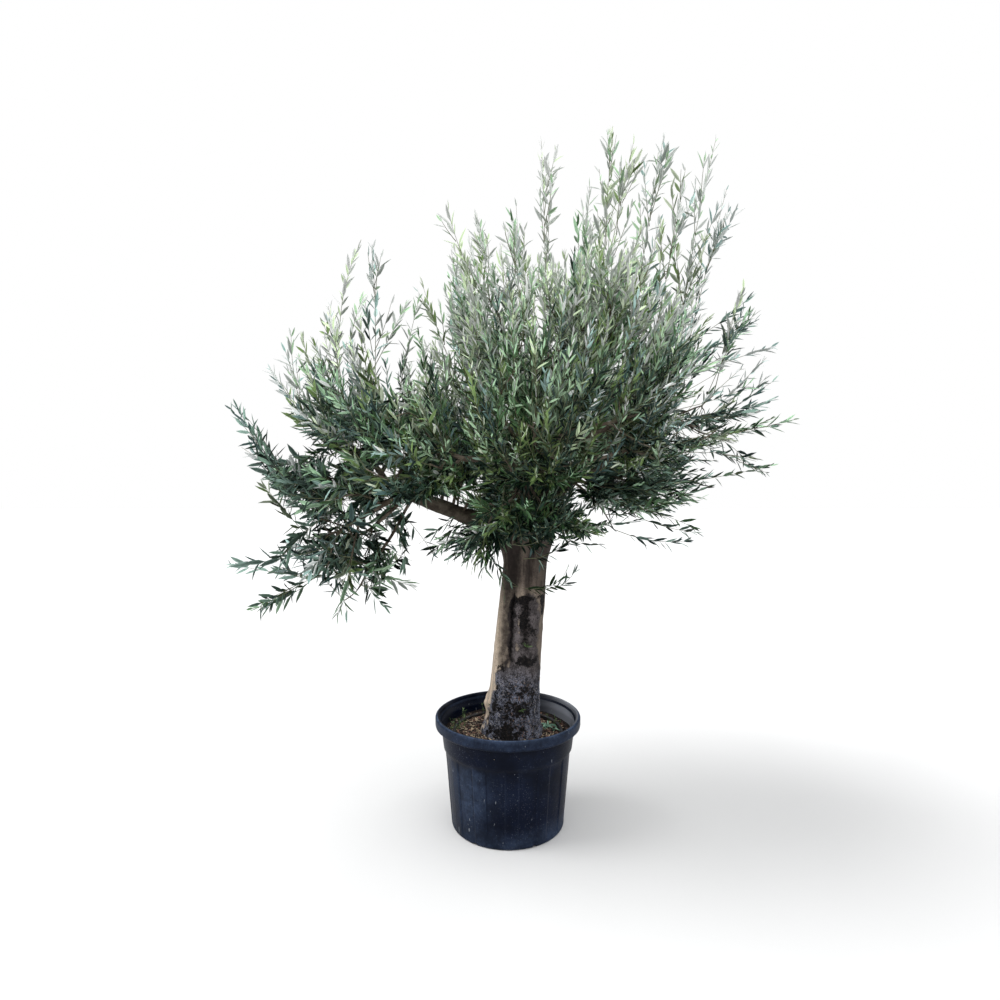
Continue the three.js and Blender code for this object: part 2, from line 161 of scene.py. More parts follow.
class OliveTrunk(bpy.types.PropertyGroup):
    """Sizes and colours of the trunk and the boughs."""
    columns: count("Columns", 250, "Points round the trunk")
    rows: count("Rows", 350, "Points up the trunk")
    bough_columns: count("Bough columns", 44, "Points round a bough")
    bough_rows: count("Bough rows", 90, "Points along a bough")
    fissure_depth: length("Fissure depth", 0.010, "Depth of the open fissure")
    smooth_bark: colour("Smooth bark", (224, 205, 184), "Pale smooth bark on the sides")
    upper_bark: colour("Upper bark", (104, 93, 85), "Brown smooth bark under the fork")
    grey_bark: colour("Grey bark", (98, 92, 93), "Grey weathered bark")
    foot_bark: colour("Foot bark", (100, 103, 116), "Blue grey bark at the foot")
    # Also the colour of the painted shade in the fissure and the grooves.
    dark_bark: colour("Dark bark", (17, 16, 18), "Fissures, knots and blotches")
    flake_bark: colour("Pale flakes", (184, 180, 178), "Pale edges of the flakes at the foot")
    # Paints the shade in valleys, flutes, the right side and under the fork; also pits and fissure specks.
    shade_bark: colour("Sheltered bark", (40, 34, 32), "Bark in the flutes, where dirt gathers")
    rust_bark: colour("Rusty flakes", (112, 80, 58), "Orange brown flakes at the foot")
    branch_bark: colour("Branches", (84, 72, 60), "Bark of the branches")
    branch_pale: colour("Branches, pale", (128, 118, 104), "Pale bark on the thin branches")


class OliveCrown(bpy.types.PropertyGroup):
    """Sizes of the crown: where its shoots stand and how the branches grow to them."""
    seed: count("Seed", 11, "Seed of the crown's random numbers")
    spacing: length("Spacing", 0.0440, "Least distance between two shoot tips")
    inner_share: share("Inner shoots", 0.2, "Part of the shoots that stand inside the crown")
    shoot_short: length("Shortest shoot", 0.2, "Length of the shortest leafy shoot")
    shoot_long: length("Longest shoot", 0.42, "Length of the longest leafy shoot")
    step: length("Step", 0.035, "Length that a branch grows in a round")
    reach: length("Reach", 0.05, "A branch this near to a shoot's foot has met it")
    rounds: count("Rounds", 60, "Most rounds of growth")
    twig_radius: length("Twig radius", 0.0021, "Radius of a branch that bears one shoot")
    taper: plain("Taper", 2.35, "Power that links a branch's radius to the shoots it bears")
    stem_radius: length("Stem radius", 0.0019, "Radius of a leafy shoot at its foot")


class OliveLeaves(bpy.types.PropertyGroup):
    """Sizes and colours of the leaves."""
    length: length("Leaf length", 0.059, "Length of a full-grown leaf")
    width: length("Leaf width", 0.0118, "Width of a full-grown leaf")
    thickness: length("Leaf thickness", 0.0007, "Thickness at the midrib")
    pitch: length("Pitch", 0.0190, "Distance between two pairs of leaves")
    airy_pitch: share("Airy pitch", 0.65, "How much further apart the pairs stand on an airy shoot")
    outward: plain("Outward", 1.1, "How strongly leaves of the lower crown face outwards")
    spread: turn("Spread", 31.0, "Angle between the shoot and its lower leaves")
    tip_spread: turn("Tip spread", 15.0, "Angle between the shoot and its last leaves")
    stem: colour("Stems", (104, 108, 80), "Young twigs")
    under: colour("Underside", (194, 216, 200), "Silvery underside")
    deep: colour("Deep green", (22, 45, 33), "Old leaves in the lower crown")
    mid: colour("Mid green", (51, 84, 46), "Grown leaves")
    olive: colour("Olive green", (87, 111, 55), "Warmer grown leaves")
    sage: colour("Sage", (124, 154, 119), "Grey green leaves")
    blue: colour("Blue green", (48, 75, 72), "Blue green leaves")
    frost: colour("Frosted", (114, 144, 138), "Blue grey leaves at the crown's sides")
    young: colour("Young green", (152, 170, 132), "Young leaves at the top")
    yellow: colour("Yellow", (168, 154, 88), "The few leaves about to fall")


class OliveStage(bpy.types.PropertyGroup):
    """The floor, the light and the camera."""
    floor_size: length("Floor size", 60.0, "Side of the square floor")
    camera_place: bpy.props.FloatVectorProperty(
        name="Camera", description="Where the camera stands", default=(-0.0325, -2.64, 1.41),
        subtype="XYZ")
    camera_dip: turn("Camera dip", 1.6, "How far the camera looks down")
    lens: bpy.props.FloatProperty(
        name="Lens", description="Focal length", default=23.04, unit="CAMERA")
    key: plain("Key light", 2.3, "Strength of the main light")
    overhead: plain("Overhead light", 2.9, "Strength of the top light")
    glow: plain("Glow", 0.32, "Strength of the light from all round")
    floor: colour("Floor", (214, 214, 214), "Pale floor")
    sky: colour("Surroundings", (250, 252, 255), "Even light from all round")


GROUPS = {
    "olive_pot": OlivePot,
    "olive_soil": OliveSoil,
    "olive_trunk": OliveTrunk,
    "olive_crown": OliveCrown,
    "olive_leaves": OliveLeaves,
    "olive_stage": OliveStage,
}


# ---- Measures of the frame ------------------------------------------------------------------

def triangles_of(node):
    """The triangles of a frame node, as an array of corners (triangle, corner, axis)."""
    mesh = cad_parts[node].data
    places = np.empty(len(mesh.vertices) * 3)
    mesh.vertices.foreach_get("co", places)
    corners = np.empty(len(mesh.loops), int)
    mesh.loops.foreach_get("vertex_index", corners)
    return places.reshape(-1, 3)[corners].reshape(-1, 3, 3)


def limb_ends(node):
    """The two ends of a long node, the one nearer to the fork first.

    The long axis is the first principal axis of its corners; an end is the mean of the corners in the last
    tenth of the length.
    """
    corners = triangles_of(node).reshape(-1, 3)
    middle = corners.mean(0)
    axis = np.linalg.svd(corners - middle, full_matrices=False)[2][0]
    along = (corners - middle) @ axis
    reach = np.ptp(along) / 10
    ends = [corners[along < along.min() + reach].mean(0), corners[along > along.max() - reach].mean(0)]
    ends.sort(key=lambda end: np.linalg.norm(end - fork_centre()))
    return ends


def sections(node, start, direction, distances):
    """Centres and mean radii of the cuts through a limb by planes across a direction.

    In each cut triangle the plane's two crossings make a chord; the centre is the mean of the chords'
    middles weighted by length, and the radius is the weighted mean of their distances from it.
    """
    corners = triangles_of(node)
    heights = (corners - start) @ direction
    centres = []
    radii = []
    for distance in distances:
        level = heights - distance
        ahead = np.roll(level, -1, axis=1)
        crossed = (level > 0) != (ahead > 0)
        cut = crossed.sum(1) == 2
        part = level[cut] / np.where(crossed[cut], level[cut] - ahead[cut], 1)
        points = corners[cut] + (np.roll(corners[cut], -1, axis=1) - corners[cut]) * part[..., None]
        pairs = points[crossed[cut]].reshape(-1, 2, 3)
        weight = np.linalg.norm(pairs[:, 1] - pairs[:, 0], axis=1)[:, None]
        middles = pairs.mean(1)
        centre = (middles * weight).sum(0) / weight.sum()
        centres.append(centre)
        radii.append((np.linalg.norm(middles - centre, axis=1) * weight[:, 0]).sum() / weight.sum())
    return np.array(centres), np.array(radii)


# Levels at which the frame's trunk is measured, and places at which a bough is.
TRUNK_LEVELS = 40
BOUGH_PLACES = 12


@lru_cache(maxsize=1)
def trunk_survey():
    """Heights, centres and mean radii of the trunk of the frame, from its foot to its top."""
    low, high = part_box("trunk")
    heights = np.linspace(low.z + 0.001, high.z - 0.001, TRUNK_LEVELS)
    centres, radii = sections("trunk", np.zeros(3), UP, heights)
    return heights, centres, radii


def fork_centre():
    """The middle of the fork, a little under the trunk's top."""
    centres = trunk_survey()[1]
    return centres[-1] - (0, 0, 0.06)


def inside(points, triangles):
    """True where a point lies inside a closed surface.

    The solid angles of the triangles seen from the point add up to 4 pi inside and to 0 outside.
    """
    a, b, c = (triangles[None, :, corner] - points[:, None] for corner in range(3))
    la, lb, lc = (np.linalg.norm(side, axis=2) for side in (a, b, c))
    top = np.einsum("ijk,ijk->ij", a, np.cross(b, c))
    bottom = la * lb * lc
    bottom += np.einsum("ijk,ijk->ij", a, b) * lc
    bottom += np.einsum("ijk,ijk->ij", b, c) * la
    bottom += np.einsum("ijk,ijk->ij", c, a) * lb
    return np.abs(np.arctan2(top, bottom).sum(1)) > math.pi


# ---- Tools ----------------------------------------------------------------------------------

# The noise's random numbers, and the primes that turn a place on the lattice and a seed into one of them.
LATTICE_SIZE = 4096
LATTICE = np.random.default_rng(1).uniform(-1, 1, LATTICE_SIZE)
AXIS_PRIMES = np.array([73856093, 19349663, 83492791])
SEED_PRIME = 6542989


def unit(vectors):
    """The vectors at length one."""
    return vectors / np.maximum(np.linalg.norm(vectors, axis=-1, keepdims=True), 1e-9)


def ease(values, low, high):
    """0 below low and 1 above high, with a smooth rise 3t^2 - 2t^3 between.

    It falls where high is the lesser of the two.
    """
    t = np.clip((values - low) / (high - low), 0, 1)
    return t * t * (3 - 2 * t)


def window(values, start, full, fade, end):
    """0 up to start, 1 from full to fade, and 0 from end on, eased between."""
    return ease(values, start, full) * ease(values, end, fade)


def bell(values, middle, width):
    """A bell curve of height one: exp(-((value - middle) / width)^2)."""
    return np.exp(-(((values - middle) / width) ** 2))


def round_angles(number, start=-math.pi):
    """That many even angles round a circle."""
    return np.linspace(start, start + 2 * math.pi, number, endpoint=False)


def spokes(angle, across, upward):
    """Unit directions at the angles in the plane of each pair: cos a * across + sin a * upward."""
    return np.cos(angle)[:, None] * across[:, None] + np.sin(angle)[:, None] * upward[:, None]


def polar(radius, angle, height):
    """A point at a radius, at an angle from the front and at a height."""
    return np.stack([radius * np.sin(angle), -radius * np.cos(angle), height], axis=-1)


def squared(vectors, axis):
    """The vectors at length one, made square to the unit vectors of the axis."""
    return unit(vectors - np.einsum("ij,ij->i", vectors, axis)[:, None] * axis)


def along_line(where, stations, places):
    """Places on a line of straight steps, where its stations reach the wanted numbers."""
    columns = [np.interp(where, stations, column) for column in places.T]
    return np.stack(columns, axis=1)


def noise(points, size, seed=0):
    """Smooth noise from -1 to 1.

    Random numbers stand on a cubic lattice of that size, and are eased between its corners.
    """
    scaled = points / size
    cell = np.floor(scaled).astype(np.int64)
    rise = scaled - cell
    rise = rise * rise * (3 - 2 * rise)
    total = np.zeros(points.shape[:-1])
    for corner in itertools.product((0, 1), repeat=3):
        x, y, z = np.moveaxis((cell + corner) * AXIS_PRIMES, -1, 0)
        key = x ^ y ^ z ^ (seed * SEED_PRIME)
        weight = np.where(np.array(corner) == 1, rise, 1 - rise).prod(-1)
        total += weight * LATTICE[key & (LATTICE_SIZE - 1)]
    return total


def rough_noise(points, size, octaves, seed=0):
    """Noise with finer and weaker noise on top: each octave has half the size and half the strength."""
    return sum(noise(points, size / 2 ** i, seed + i) / 2 ** i for i in range(octaves))


def grid_faces(rows, columns):
    """Four-sided faces of a grid of points stored row by row; the last column meets the first."""
    here = np.arange(columns)
    ahead = (here + 1) % columns
    first = (np.arange(rows - 1) * columns)[:, None]
    corners = [first + here, first + ahead, first + columns + ahead, first + columns + here]
    return np.stack(corners, axis=-1).reshape(-1, 4)


def fan_faces(ring, centre, outward=True):
    """Triangles from a ring of points to one centre."""
    ahead = np.roll(ring, -1)
    middle = np.full(len(ring), centre)
    return np.stack([ring, ahead, middle] if outward else [ahead, ring, middle], axis=1)


def capped_faces(rows, columns, flipped=False):
    """Faces of a grid whose first and last rows fan to two points stored after it."""
    ring = np.arange(columns)
    total = rows * columns
    grid = grid_faces(rows, columns)
    return [grid[:, ::-1] if flipped else grid,
            fan_faces(ring, total, outward=flipped),
            fan_faces(ring + total - columns, total + 1, outward=not flipped)]


def placed(name, data):
    """A new object of that data in the scene."""
    result = bpy.data.objects.new(name, data)
    bpy.context.scene.collection.objects.link(result)
    return result


def piece(name, points, faces, materials, slot, replaces=(), material_index=None, values=None, sharp=None):
    """A mesh object from arrays, riding on the tree's body.

    faces is a list of arrays, each with its own number of corners. values holds named numbers, one for each
    point. sharp takes the two point numbers of every edge and tells which edges are sharp.
    """
    mesh = bpy.data.meshes.new(name)
    mesh.vertices.add(len(points))
    mesh.vertices.foreach_set("co", np.ascontiguousarray(points, np.float32).ravel())
    corners = np.concatenate([group.ravel() for group in faces])
    sizes = np.concatenate([np.full(len(group), group.shape[1]) for group in faces])
    mesh.loops.add(len(corners))
    mesh.loops.foreach_set("vertex_index", corners.astype(np.int32))
    mesh.polygons.add(len(sizes))
    mesh.polygons.foreach_set("loop_start", (np.cumsum(sizes) - sizes).astype(np.int32))
    mesh.polygons.foreach_set("use_smooth", np.ones(len(sizes), bool))
    for material in materials:
        mesh.materials.append(material)
    if material_index is not None:
        mesh.polygons.foreach_set("material_index", material_index.astype(np.int32))
    mesh.update(calc_edges=True)
    for key, numbers in (values or {}).items():
        attribute = mesh.attributes.new(key, "FLOAT", "POINT")
        attribute.data.foreach_set("value", np.ascontiguousarray(numbers, np.float32).ravel())
    if sharp is not None:
        edges = np.empty(len(mesh.edges) * 2, np.int32)
        mesh.edges.foreach_get("vertices", edges)
        attribute = mesh.attributes.new("sharp_edge", "BOOLEAN", "EDGE")
        attribute.data.foreach_set("value", sharp(edges.reshape(-1, 2)))
    result = placed(name, mesh)
    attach(result, BODY)
    if replaces:
        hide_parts(*replaces)
    return result


def ring_frames(centres, first, last):
    """Two directions across each ring of many tubes.

    The tangent runs from the ring before to the ring after in the same tube. The first direction is the
    tangent crossed with the world axis least along the tube's chord, and the second completes the frame.
    """
    order = np.arange(len(centres))
    tangent = unit(centres[np.minimum(order + 1, last)] - centres[np.maximum(order - 1, first)])
    chord = np.abs(centres[last] - centres[first])
    reference = np.eye(3)[chord.argmin(1)]
    across = unit(np.cross(tangent, reference))
    return tangent, across, np.cross(tangent, across)


def tubes(centres, radii, starts, sides):
    """Points and faces of many round tubes, closed at both ends.

    All rings lie in one array; starts holds the first ring of each tube. A ring's points are its centre plus
    radius * (cos a, sin a) in the ring's frame, and each end is a fan to a point on the axis.
    """
    starts = np.asarray(starts)
    ends = np.append(starts[1:], len(centres)) - 1
    tube = np.repeat(np.arange(len(starts)), ends - starts + 1)
    tangent, across, upward = ring_frames(centres, starts[tube], ends[tube])
    spoke = spokes(np.arange(sides) * 2 * math.pi / sides, across, upward)
    skin = (centres[:, None] + radii[:, None, None] * spoke).reshape(-1, 3)
    caps = np.stack([centres[starts] - tangent[starts] * radii[starts, None] * 0.5,
                     centres[ends] + tangent[ends] * radii[ends, None]], axis=1).reshape(-1, 3)
    side = np.arange(sides)
    ahead = (side + 1) % sides
    running = np.setdiff1d(np.arange(len(centres)), ends)[:, None] * sides
    walls = np.stack([running + side, running + ahead, running + sides + ahead, running + sides + side], -1)
    cap = len(skin) + 2 * np.arange(len(starts))[:, None] + 0 * side
    foot = starts[:, None] * sides
    head = ends[:, None] * sides
    foot_fan = np.stack([foot + ahead, foot + side, cap], -1)
    head_fan = np.stack([head + side, head + ahead, cap + 1], -1)
    faces = [walls.reshape(-1, 4), foot_fan.reshape(-1, 3), head_fan.reshape(-1, 3)]
    return np.concatenate([skin, caps]), faces


def curves(start, bend, end, shares):
    """Points and directions on quadratic curves: (1-t)^2 start + 2t(1-t) bend + t^2 end at each share t."""
    t = shares[..., None]
    a, b, c = start[:, None], bend[:, None], end[:, None]
    points = (1 - t) ** 2 * a + 2 * t * (1 - t) * b + t * t * c
    return points, unit((1 - t) * (b - a) + t * (c - b))


# ---- Materials ------------------------------------------------------------------------------

class Finish:
    """A material whose nodes are added step by step. Patterns follow Object coordinates."""

    def __init__(self, name, roughness=0.6, specular=0.5):
        self.material = bpy.data.materials.new(name)
        self.material.use_nodes = True
        self.tree = self.material.node_tree
        self.shader = self.tree.nodes["Principled BSDF"]
        self.shader.inputs["Roughness"].default_value = roughness
        self.shader.inputs["Specular IOR Level"].default_value = specular
        self.place = self.tree.nodes.new("ShaderNodeTexCoord").outputs["Object"]

    def link(self, value, socket):
        """Links an output to a socket, or sets the socket to a number or colour."""
        if isinstance(value, bpy.types.NodeSocket):
            self.tree.links.new(value, socket)
        elif hasattr(value, "__len__") and len(value) == 3 and socket.type == "RGBA":
            socket.default_value = (*value, 1)
        else:
            socket.default_value = value

    def node(self, kind, output, inputs=(), **settings):
        """One output of a new node, after its settings and its pairs of socket and value are set."""
        node = self.tree.nodes.new("ShaderNode" + kind)
        for name, setting in settings.items():
            setattr(node, name, setting)
        for socket, value in inputs:
            self.link(value, node.inputs[socket])
        return node.outputs[output]

    def stretched(self, scale):
        """The place with each axis scaled by its own number."""
        return self.node("Mapping", "Vector", [("Scale", scale), ("Vector", self.place)])

    def noise(self, scale, detail=4, place=None, roughness=0.55):
        """Fractal noise, about 0.5 on average."""
        inputs = [("Scale", scale), ("Detail", detail), ("Roughness", roughness)]
        return self.node("TexNoise", "Fac", [*inputs, ("Vector", place or self.place)])

    def cells(self, scale):
        """Distance to the nearest of many scattered points."""
        return self.node("TexVoronoi", "Distance", [("Scale", scale), ("Vector", self.place)])

    def value(self, name):
        """A number stored on the mesh's points."""
        return self.node("Attribute", "Fac", attribute_name=name)

    def spread(self, value, low, high, new_low=0.0, new_high=1.0):
        """A value moved from one range to another, eased and kept inside it."""
        inputs = {"Value": value, "From Min": low, "From Max": high, "To Min": new_low, "To Max": new_high}
        return self.node("MapRange", "Result", inputs.items(), interpolation_type="SMOOTHSTEP")

    def sum(self, *values):
        """The sum of the values."""
        total = values[0]
        for value in values[1:]:
            total = self.math("ADD", total, value)
        return total

    def blend(self, *pairs):
        """The sum of the values, each times its weight. A pair is a value and its weight."""
        return self.sum(*(value if weight == 1 else self.times(value, weight) for value, weight in pairs))

    def times(self, first, second):
        """The product of two values."""
        return self.math("MULTIPLY", first, second)

    def most(self, first, second):
        """The greater of two values."""
        return self.math("MAXIMUM", first, second)

    def math(self, operation, first, second):
        """One arithmetic step."""
        return self.node("Math", 0, [(0, first), (1, second)], operation=operation)

    def mix(self, factor, first, second):
        """The first colour where the factor is 0 and the second where it is 1."""
        return self.node("Mix", 2, [(0, factor), (6, first), (7, second)], data_type="RGBA")

    def grade(self, factor, colour, low, high):
        """The colour times low where the factor is 0, and times high where it is 1."""
        return self.mix(factor, shade(colour, low), shade(colour, high))

    def paint(self, colour, roughness=None):
        """Sends a colour, and a roughness where one is given, to the shader."""
        self.link(colour, self.shader.inputs["Base Color"])
        if roughness is not None:
            self.link(roughness, self.shader.inputs["Roughness"])

    def bump(self, height, distance):
        """Gives the surface a fine relief of that height in metres."""
        inputs = [("Distance", distance), ("Strength", 1.0), ("Height", height)]
        self.link(self.node("Bump", "Normal", inputs), self.shader.inputs["Normal"])


def shade(colour, factor):
    """A colour made lighter or darker by a factor."""
    return tuple(min(1.0, level * factor) for level in colour)


def greyed(colour, part):
    """A colour drawn by a part of the way towards the grey of its own mean."""
    grey = sum(colour) / 3
    return tuple(level + (grey - level) * part for level in colour)


def pot_plastic(sizes):
    """Weathered dark nursery plastic: scuffed down its length, with pale splashes and scratches and a
    dusting.

    The mesh stores how thick the dusting is at each point, together with painted highlights on the rib
    edges, the rim's top and the inner wall at the right and painted shade beside the rib edges, and whether
    it is inside the pot.
    """
    finish = Finish("pot_plastic", specular=0.08)
    cloud = finish.noise(7, 6, roughness=0.65)
    scuff = finish.noise(75, 7, finish.stretched((1, 1, 0.7)), 0.8)
    worn = finish.mix(finish.spread(cloud, 0.35, 0.65), sizes.plastic_dark, sizes.plastic)
    dust = finish.value("dust")
    veil_and_painted_light = finish.times(dust, finish.spread(finish.sum(cloud, scuff), 0.82, 1.24, 0.3, 1.05))
    inside = finish.value("inside")
    veil_and_painted_light = finish.most(veil_and_painted_light, finish.times(finish.times(dust, inside), 0.8))
    dusty_and_painted_light = finish.mix(veil_and_painted_light, worn, finish.mix(inside, sizes.dust, sizes.dust_inside))
    specks = finish.spread(finish.cells(95), 0.13, 0.06)
    rare = finish.spread(finish.noise(19, 2), 0.61, 0.69)
    scratch = finish.spread(finish.noise(34, 2, finish.stretched((2.6, 2.6, 0.7))), 0.72, 0.75)
    mark = finish.most(finish.times(specks, rare), finish.times(scratch, 0.5))
    powder = finish.times(finish.spread(finish.noise(230, 3), 0.62, 0.7), finish.spread(cloud, 0.38, 0.58))
    mark = finish.most(mark, finish.times(powder, 0.22))
    finish.paint(finish.mix(mark, dusty_and_painted_light, sizes.speck), finish.spread(veil_and_painted_light, 0, 0.7, 0.42, 0.78))
    finish.bump(finish.blend((finish.noise(420, 3), 1), (scuff, 0.8)), 0.0004)
    return finish.material


def soil_finish(sizes):
    """Damp potting soil with fine crumbs."""
    finish = Finish("soil_finish", roughness=0.95, specular=0.2)
    patch = finish.noise(16, 6, roughness=0.7)
    crumb = finish.cells(210)
    tone = finish.mix(finish.spread(patch, 0.35, 0.62), sizes.earth_dark, sizes.earth)
    finish.paint(finish.mix(finish.spread(crumb, 0.5, 0.1), tone, sizes.crumb))
    finish.bump(finish.sum(finish.noise(150, 6), crumb), 0.003)
    return finish.material


def litter_finish(name, colour):
    """Bark, straw or grit: one colour with darker and lighter pieces and a fibrous grain."""
    finish = Finish(name, roughness=0.9, specular=0.25)
    finish.paint(finish.grade(finish.spread(finish.noise(75, 3), 0.35, 0.65), colour, 0.5, 1.3))
    finish.bump(finish.noise(600, 4), 0.0006)
    return finish.material


def tube_finish(sizes):
    """Smooth black irrigation tube, dulled by soil."""
    finish = Finish("tube_finish", specular=0.5)
    dull = finish.spread(finish.noise(45, 5), 0.4, 0.62)
    tone = finish.mix(dull, sizes.tube, shade(sizes.earth, 1.3))
    finish.paint(tone, finish.spread(dull, 0, 1, 0.4, 0.85))
    finish.bump(finish.noise(300, 3), 0.0003)
    return finish.material


def trunk_bark(sizes):
    """Olive bark: pale and smooth on the sides, brown above, grey and flaking below, with black fissures
    painted as shade.

    The mesh stores how rough and rusty the bark is at each point, how low and how high up it lies, how dark
    it is with stains and the painted shade of the fissure and grooves, and the painted shade of the valleys
    and flutes, of the right side and under the fork. Noise of 5 to 30 mm breaks up the border between two
    kinds of bark and the edge of the black, and finer noise pits the smooth bark.
    """
    finish = Finish("trunk_bark", roughness=0.88, specular=0.2)
    fine = finish.noise(105, 8, roughness=0.72)
    blot = finish.noise(34, 7, roughness=0.66)
    strand = finish.noise(46, 6, finish.stretched((1, 1, 0.16)), 0.65)
    speckle = finish.noise(190, 6, roughness=0.85)
    low = finish.value("low")
    rough = finish.value("rough")

    tone = finish.spread(finish.blend((strand, 1), (fine, 0.4)), 0.54, 0.88)
    pale = finish.grade(tone, sizes.smooth_bark, 0.64, 1.1)
    brown = finish.grade(tone, sizes.upper_bark, 0.42, 1.3)
    pits = finish.spread(finish.noise(210, 4, roughness=0.7), 0.42, 0.34)
    skin = finish.mix(finish.value("upper"), pale, brown)
    skin = finish.mix(finish.times(pits, 0.7), skin, sizes.shade_bark)

    crackle = finish.spread(finish.blend((speckle, 0.75), (blot, 0.9)), 0.7, 0.96)
    mottle = finish.spread(finish.blend((speckle, 1), (blot, 0.5)), 0.7, 0.84)
    grey = finish.grade(crackle, sizes.grey_bark, 0.3, 1.35)
    grey = finish.mix(low, grey, finish.grade(mottle, sizes.foot_bark, 0.1, 1.8))
    scales = finish.spread(finish.noise(150, 3, roughness=0.6), 0.58, 0.66)
    grey = finish.mix(finish.times(scales, finish.times(low, 0.8)), grey, sizes.flake_bark)
    flakes = finish.times(finish.spread(finish.noise(150, 5), 0.58, 0.64), finish.value("rust"))
    grey = finish.mix(flakes, grey, sizes.rust_bark)

    ragged = finish.blend((rough, 1), (blot, 1.3), (fine, 0.5), (speckle, 0.5))
    body = finish.mix(finish.spread(ragged, 1.42, 1.88), skin, grey)
    # Painted shade: the bark darkens in the valleys and flutes, on the right side and under the fork.
    sheltered = finish.times(finish.value("sheltered"), finish.spread(blot, 0.25, 0.6, 0.75, 1.0))
    body = finish.mix(sheltered, body, sizes.shade_bark)
    # Stains, with the painted shade of the fissure and grooves, go black.
    grain = finish.blend((fine, 2.4), (blot, 0.9), (speckle, 1.1))
    stain = finish.spread(finish.sum(finish.value("dark"), grain), 2.5, 2.75)
    sooty = finish.spread(finish.noise(150, 5, roughness=0.8), 0.5, 0.62)
    black = finish.mix(sooty, shade(sizes.dark_bark, 0.7), shade(sizes.shade_bark, 1.3))
    finish.paint(finish.mix(stain, body, black))

    relief = finish.blend((fine, 1), (strand, 0.7), (speckle, 0.4), (stain, -0.35))
    finish.bump(finish.times(relief, finish.spread(rough, 0, 1, 0.4, 1.0)), 0.006)
    return finish.material


def branch_bark(sizes, name, depth):
    """Smooth grey brown bark of boughs, branches and twigs, paler in patches; the depth darkens it, which on
    the boughs paints the shade they lie in under the crown.
    """
    finish = Finish(name, roughness=0.8, specular=0.3)
    patch = finish.spread(finish.noise(14, 6, roughness=0.65), 0.42, 0.66)
    fine = finish.noise(160, 6, roughness=0.65)
    bark = shade(sizes.branch_bark, depth)
    tone = finish.mix(finish.spread(fine, 0.3, 0.7), shade(bark, 0.5), bark)
    finish.paint(finish.mix(patch, tone, shade(sizes.branch_pale, depth)))
    finish.bump(fine, 0.0016)
    return finish.material


def stem_finish(name, colour):
    """Young green twigs."""
    finish = Finish(name, roughness=0.65, specular=0.35)
    finish.paint(finish.grade(finish.noise(60, 3), colour, 0.7, 1.2))
    finish.bump(finish.noise(500, 2), 0.0002)
    return finish.material


def leaf_finish(name, colour, roughness):
    """A leaf's upper or under side: one colour, darker or paler by the leaf's tone, with a fine grain.

    The tone holds painted shade low in the crown's leaves, and a painted highlight on every blade's edges.
    """
    finish = Finish(name, specular=0.5)
    grain = finish.noise(900, 3)
    tone = finish.blend((finish.value("tone"), 1), (finish.noise(70, 2), 0.2))
    pale = greyed(colour, 0.22)
    tint = finish.mix(finish.spread(tone, 0, 1.1), shade(colour, 0.08), shade(pale, 2.5))
    tint = finish.mix(finish.spread(grain, 0.35, 0.75, 0, 0.2), tint, shade(pale, 1.5))
    finish.paint(tint, finish.spread(tone, 0, 1.1, roughness + 0.1, roughness - 0.1))
    finish.link(finish.spread(tone, 0, 1.1, 0.05, 0.35), finish.shader.inputs["Specular IOR Level"])
    finish.bump(grain, 0.0002)
    return finish.material


def floor_finish(colour):
    """A plain pale floor with a trace of grain."""
    finish = Finish("floor_finish", roughness=0.9, specular=0.1)
    finish.paint(finish.mix(finish.noise(3, 3), shade(colour, 0.985), colour))
    return finish.material


# ---- Pot ------------------------------------------------------------------------------------

POT_COLUMNS = 432
# Radius of the flat middle that the underside and the floor leave open for their closing fans.
POT_HUB = 0.02


def pot_wall(sizes, height):
    """Radius of the outer wall: two straight tapers, the band's above its foot and the ribs' below."""
    band_rise = (height - sizes.band_level) / (sizes.height - sizes.rim_drop - sizes.band_level)
    band = sizes.band_foot + (sizes.band_top - sizes.band_foot) * band_rise
    ribs = sizes.foot_radius + (sizes.rib_top - sizes.foot_radius) * height / sizes.band_level
    return np.where(height >= sizes.band_level, band, ribs)


def arc(centre, radius, start, end, steps):
    """Points of an arc in the profile's plane, between two angles in degrees."""
    angle = np.radians(np.linspace(start, end, steps))
    return np.stack([centre[0] + radius * np.cos(angle), centre[1] + radius * np.sin(angle)], axis=1)


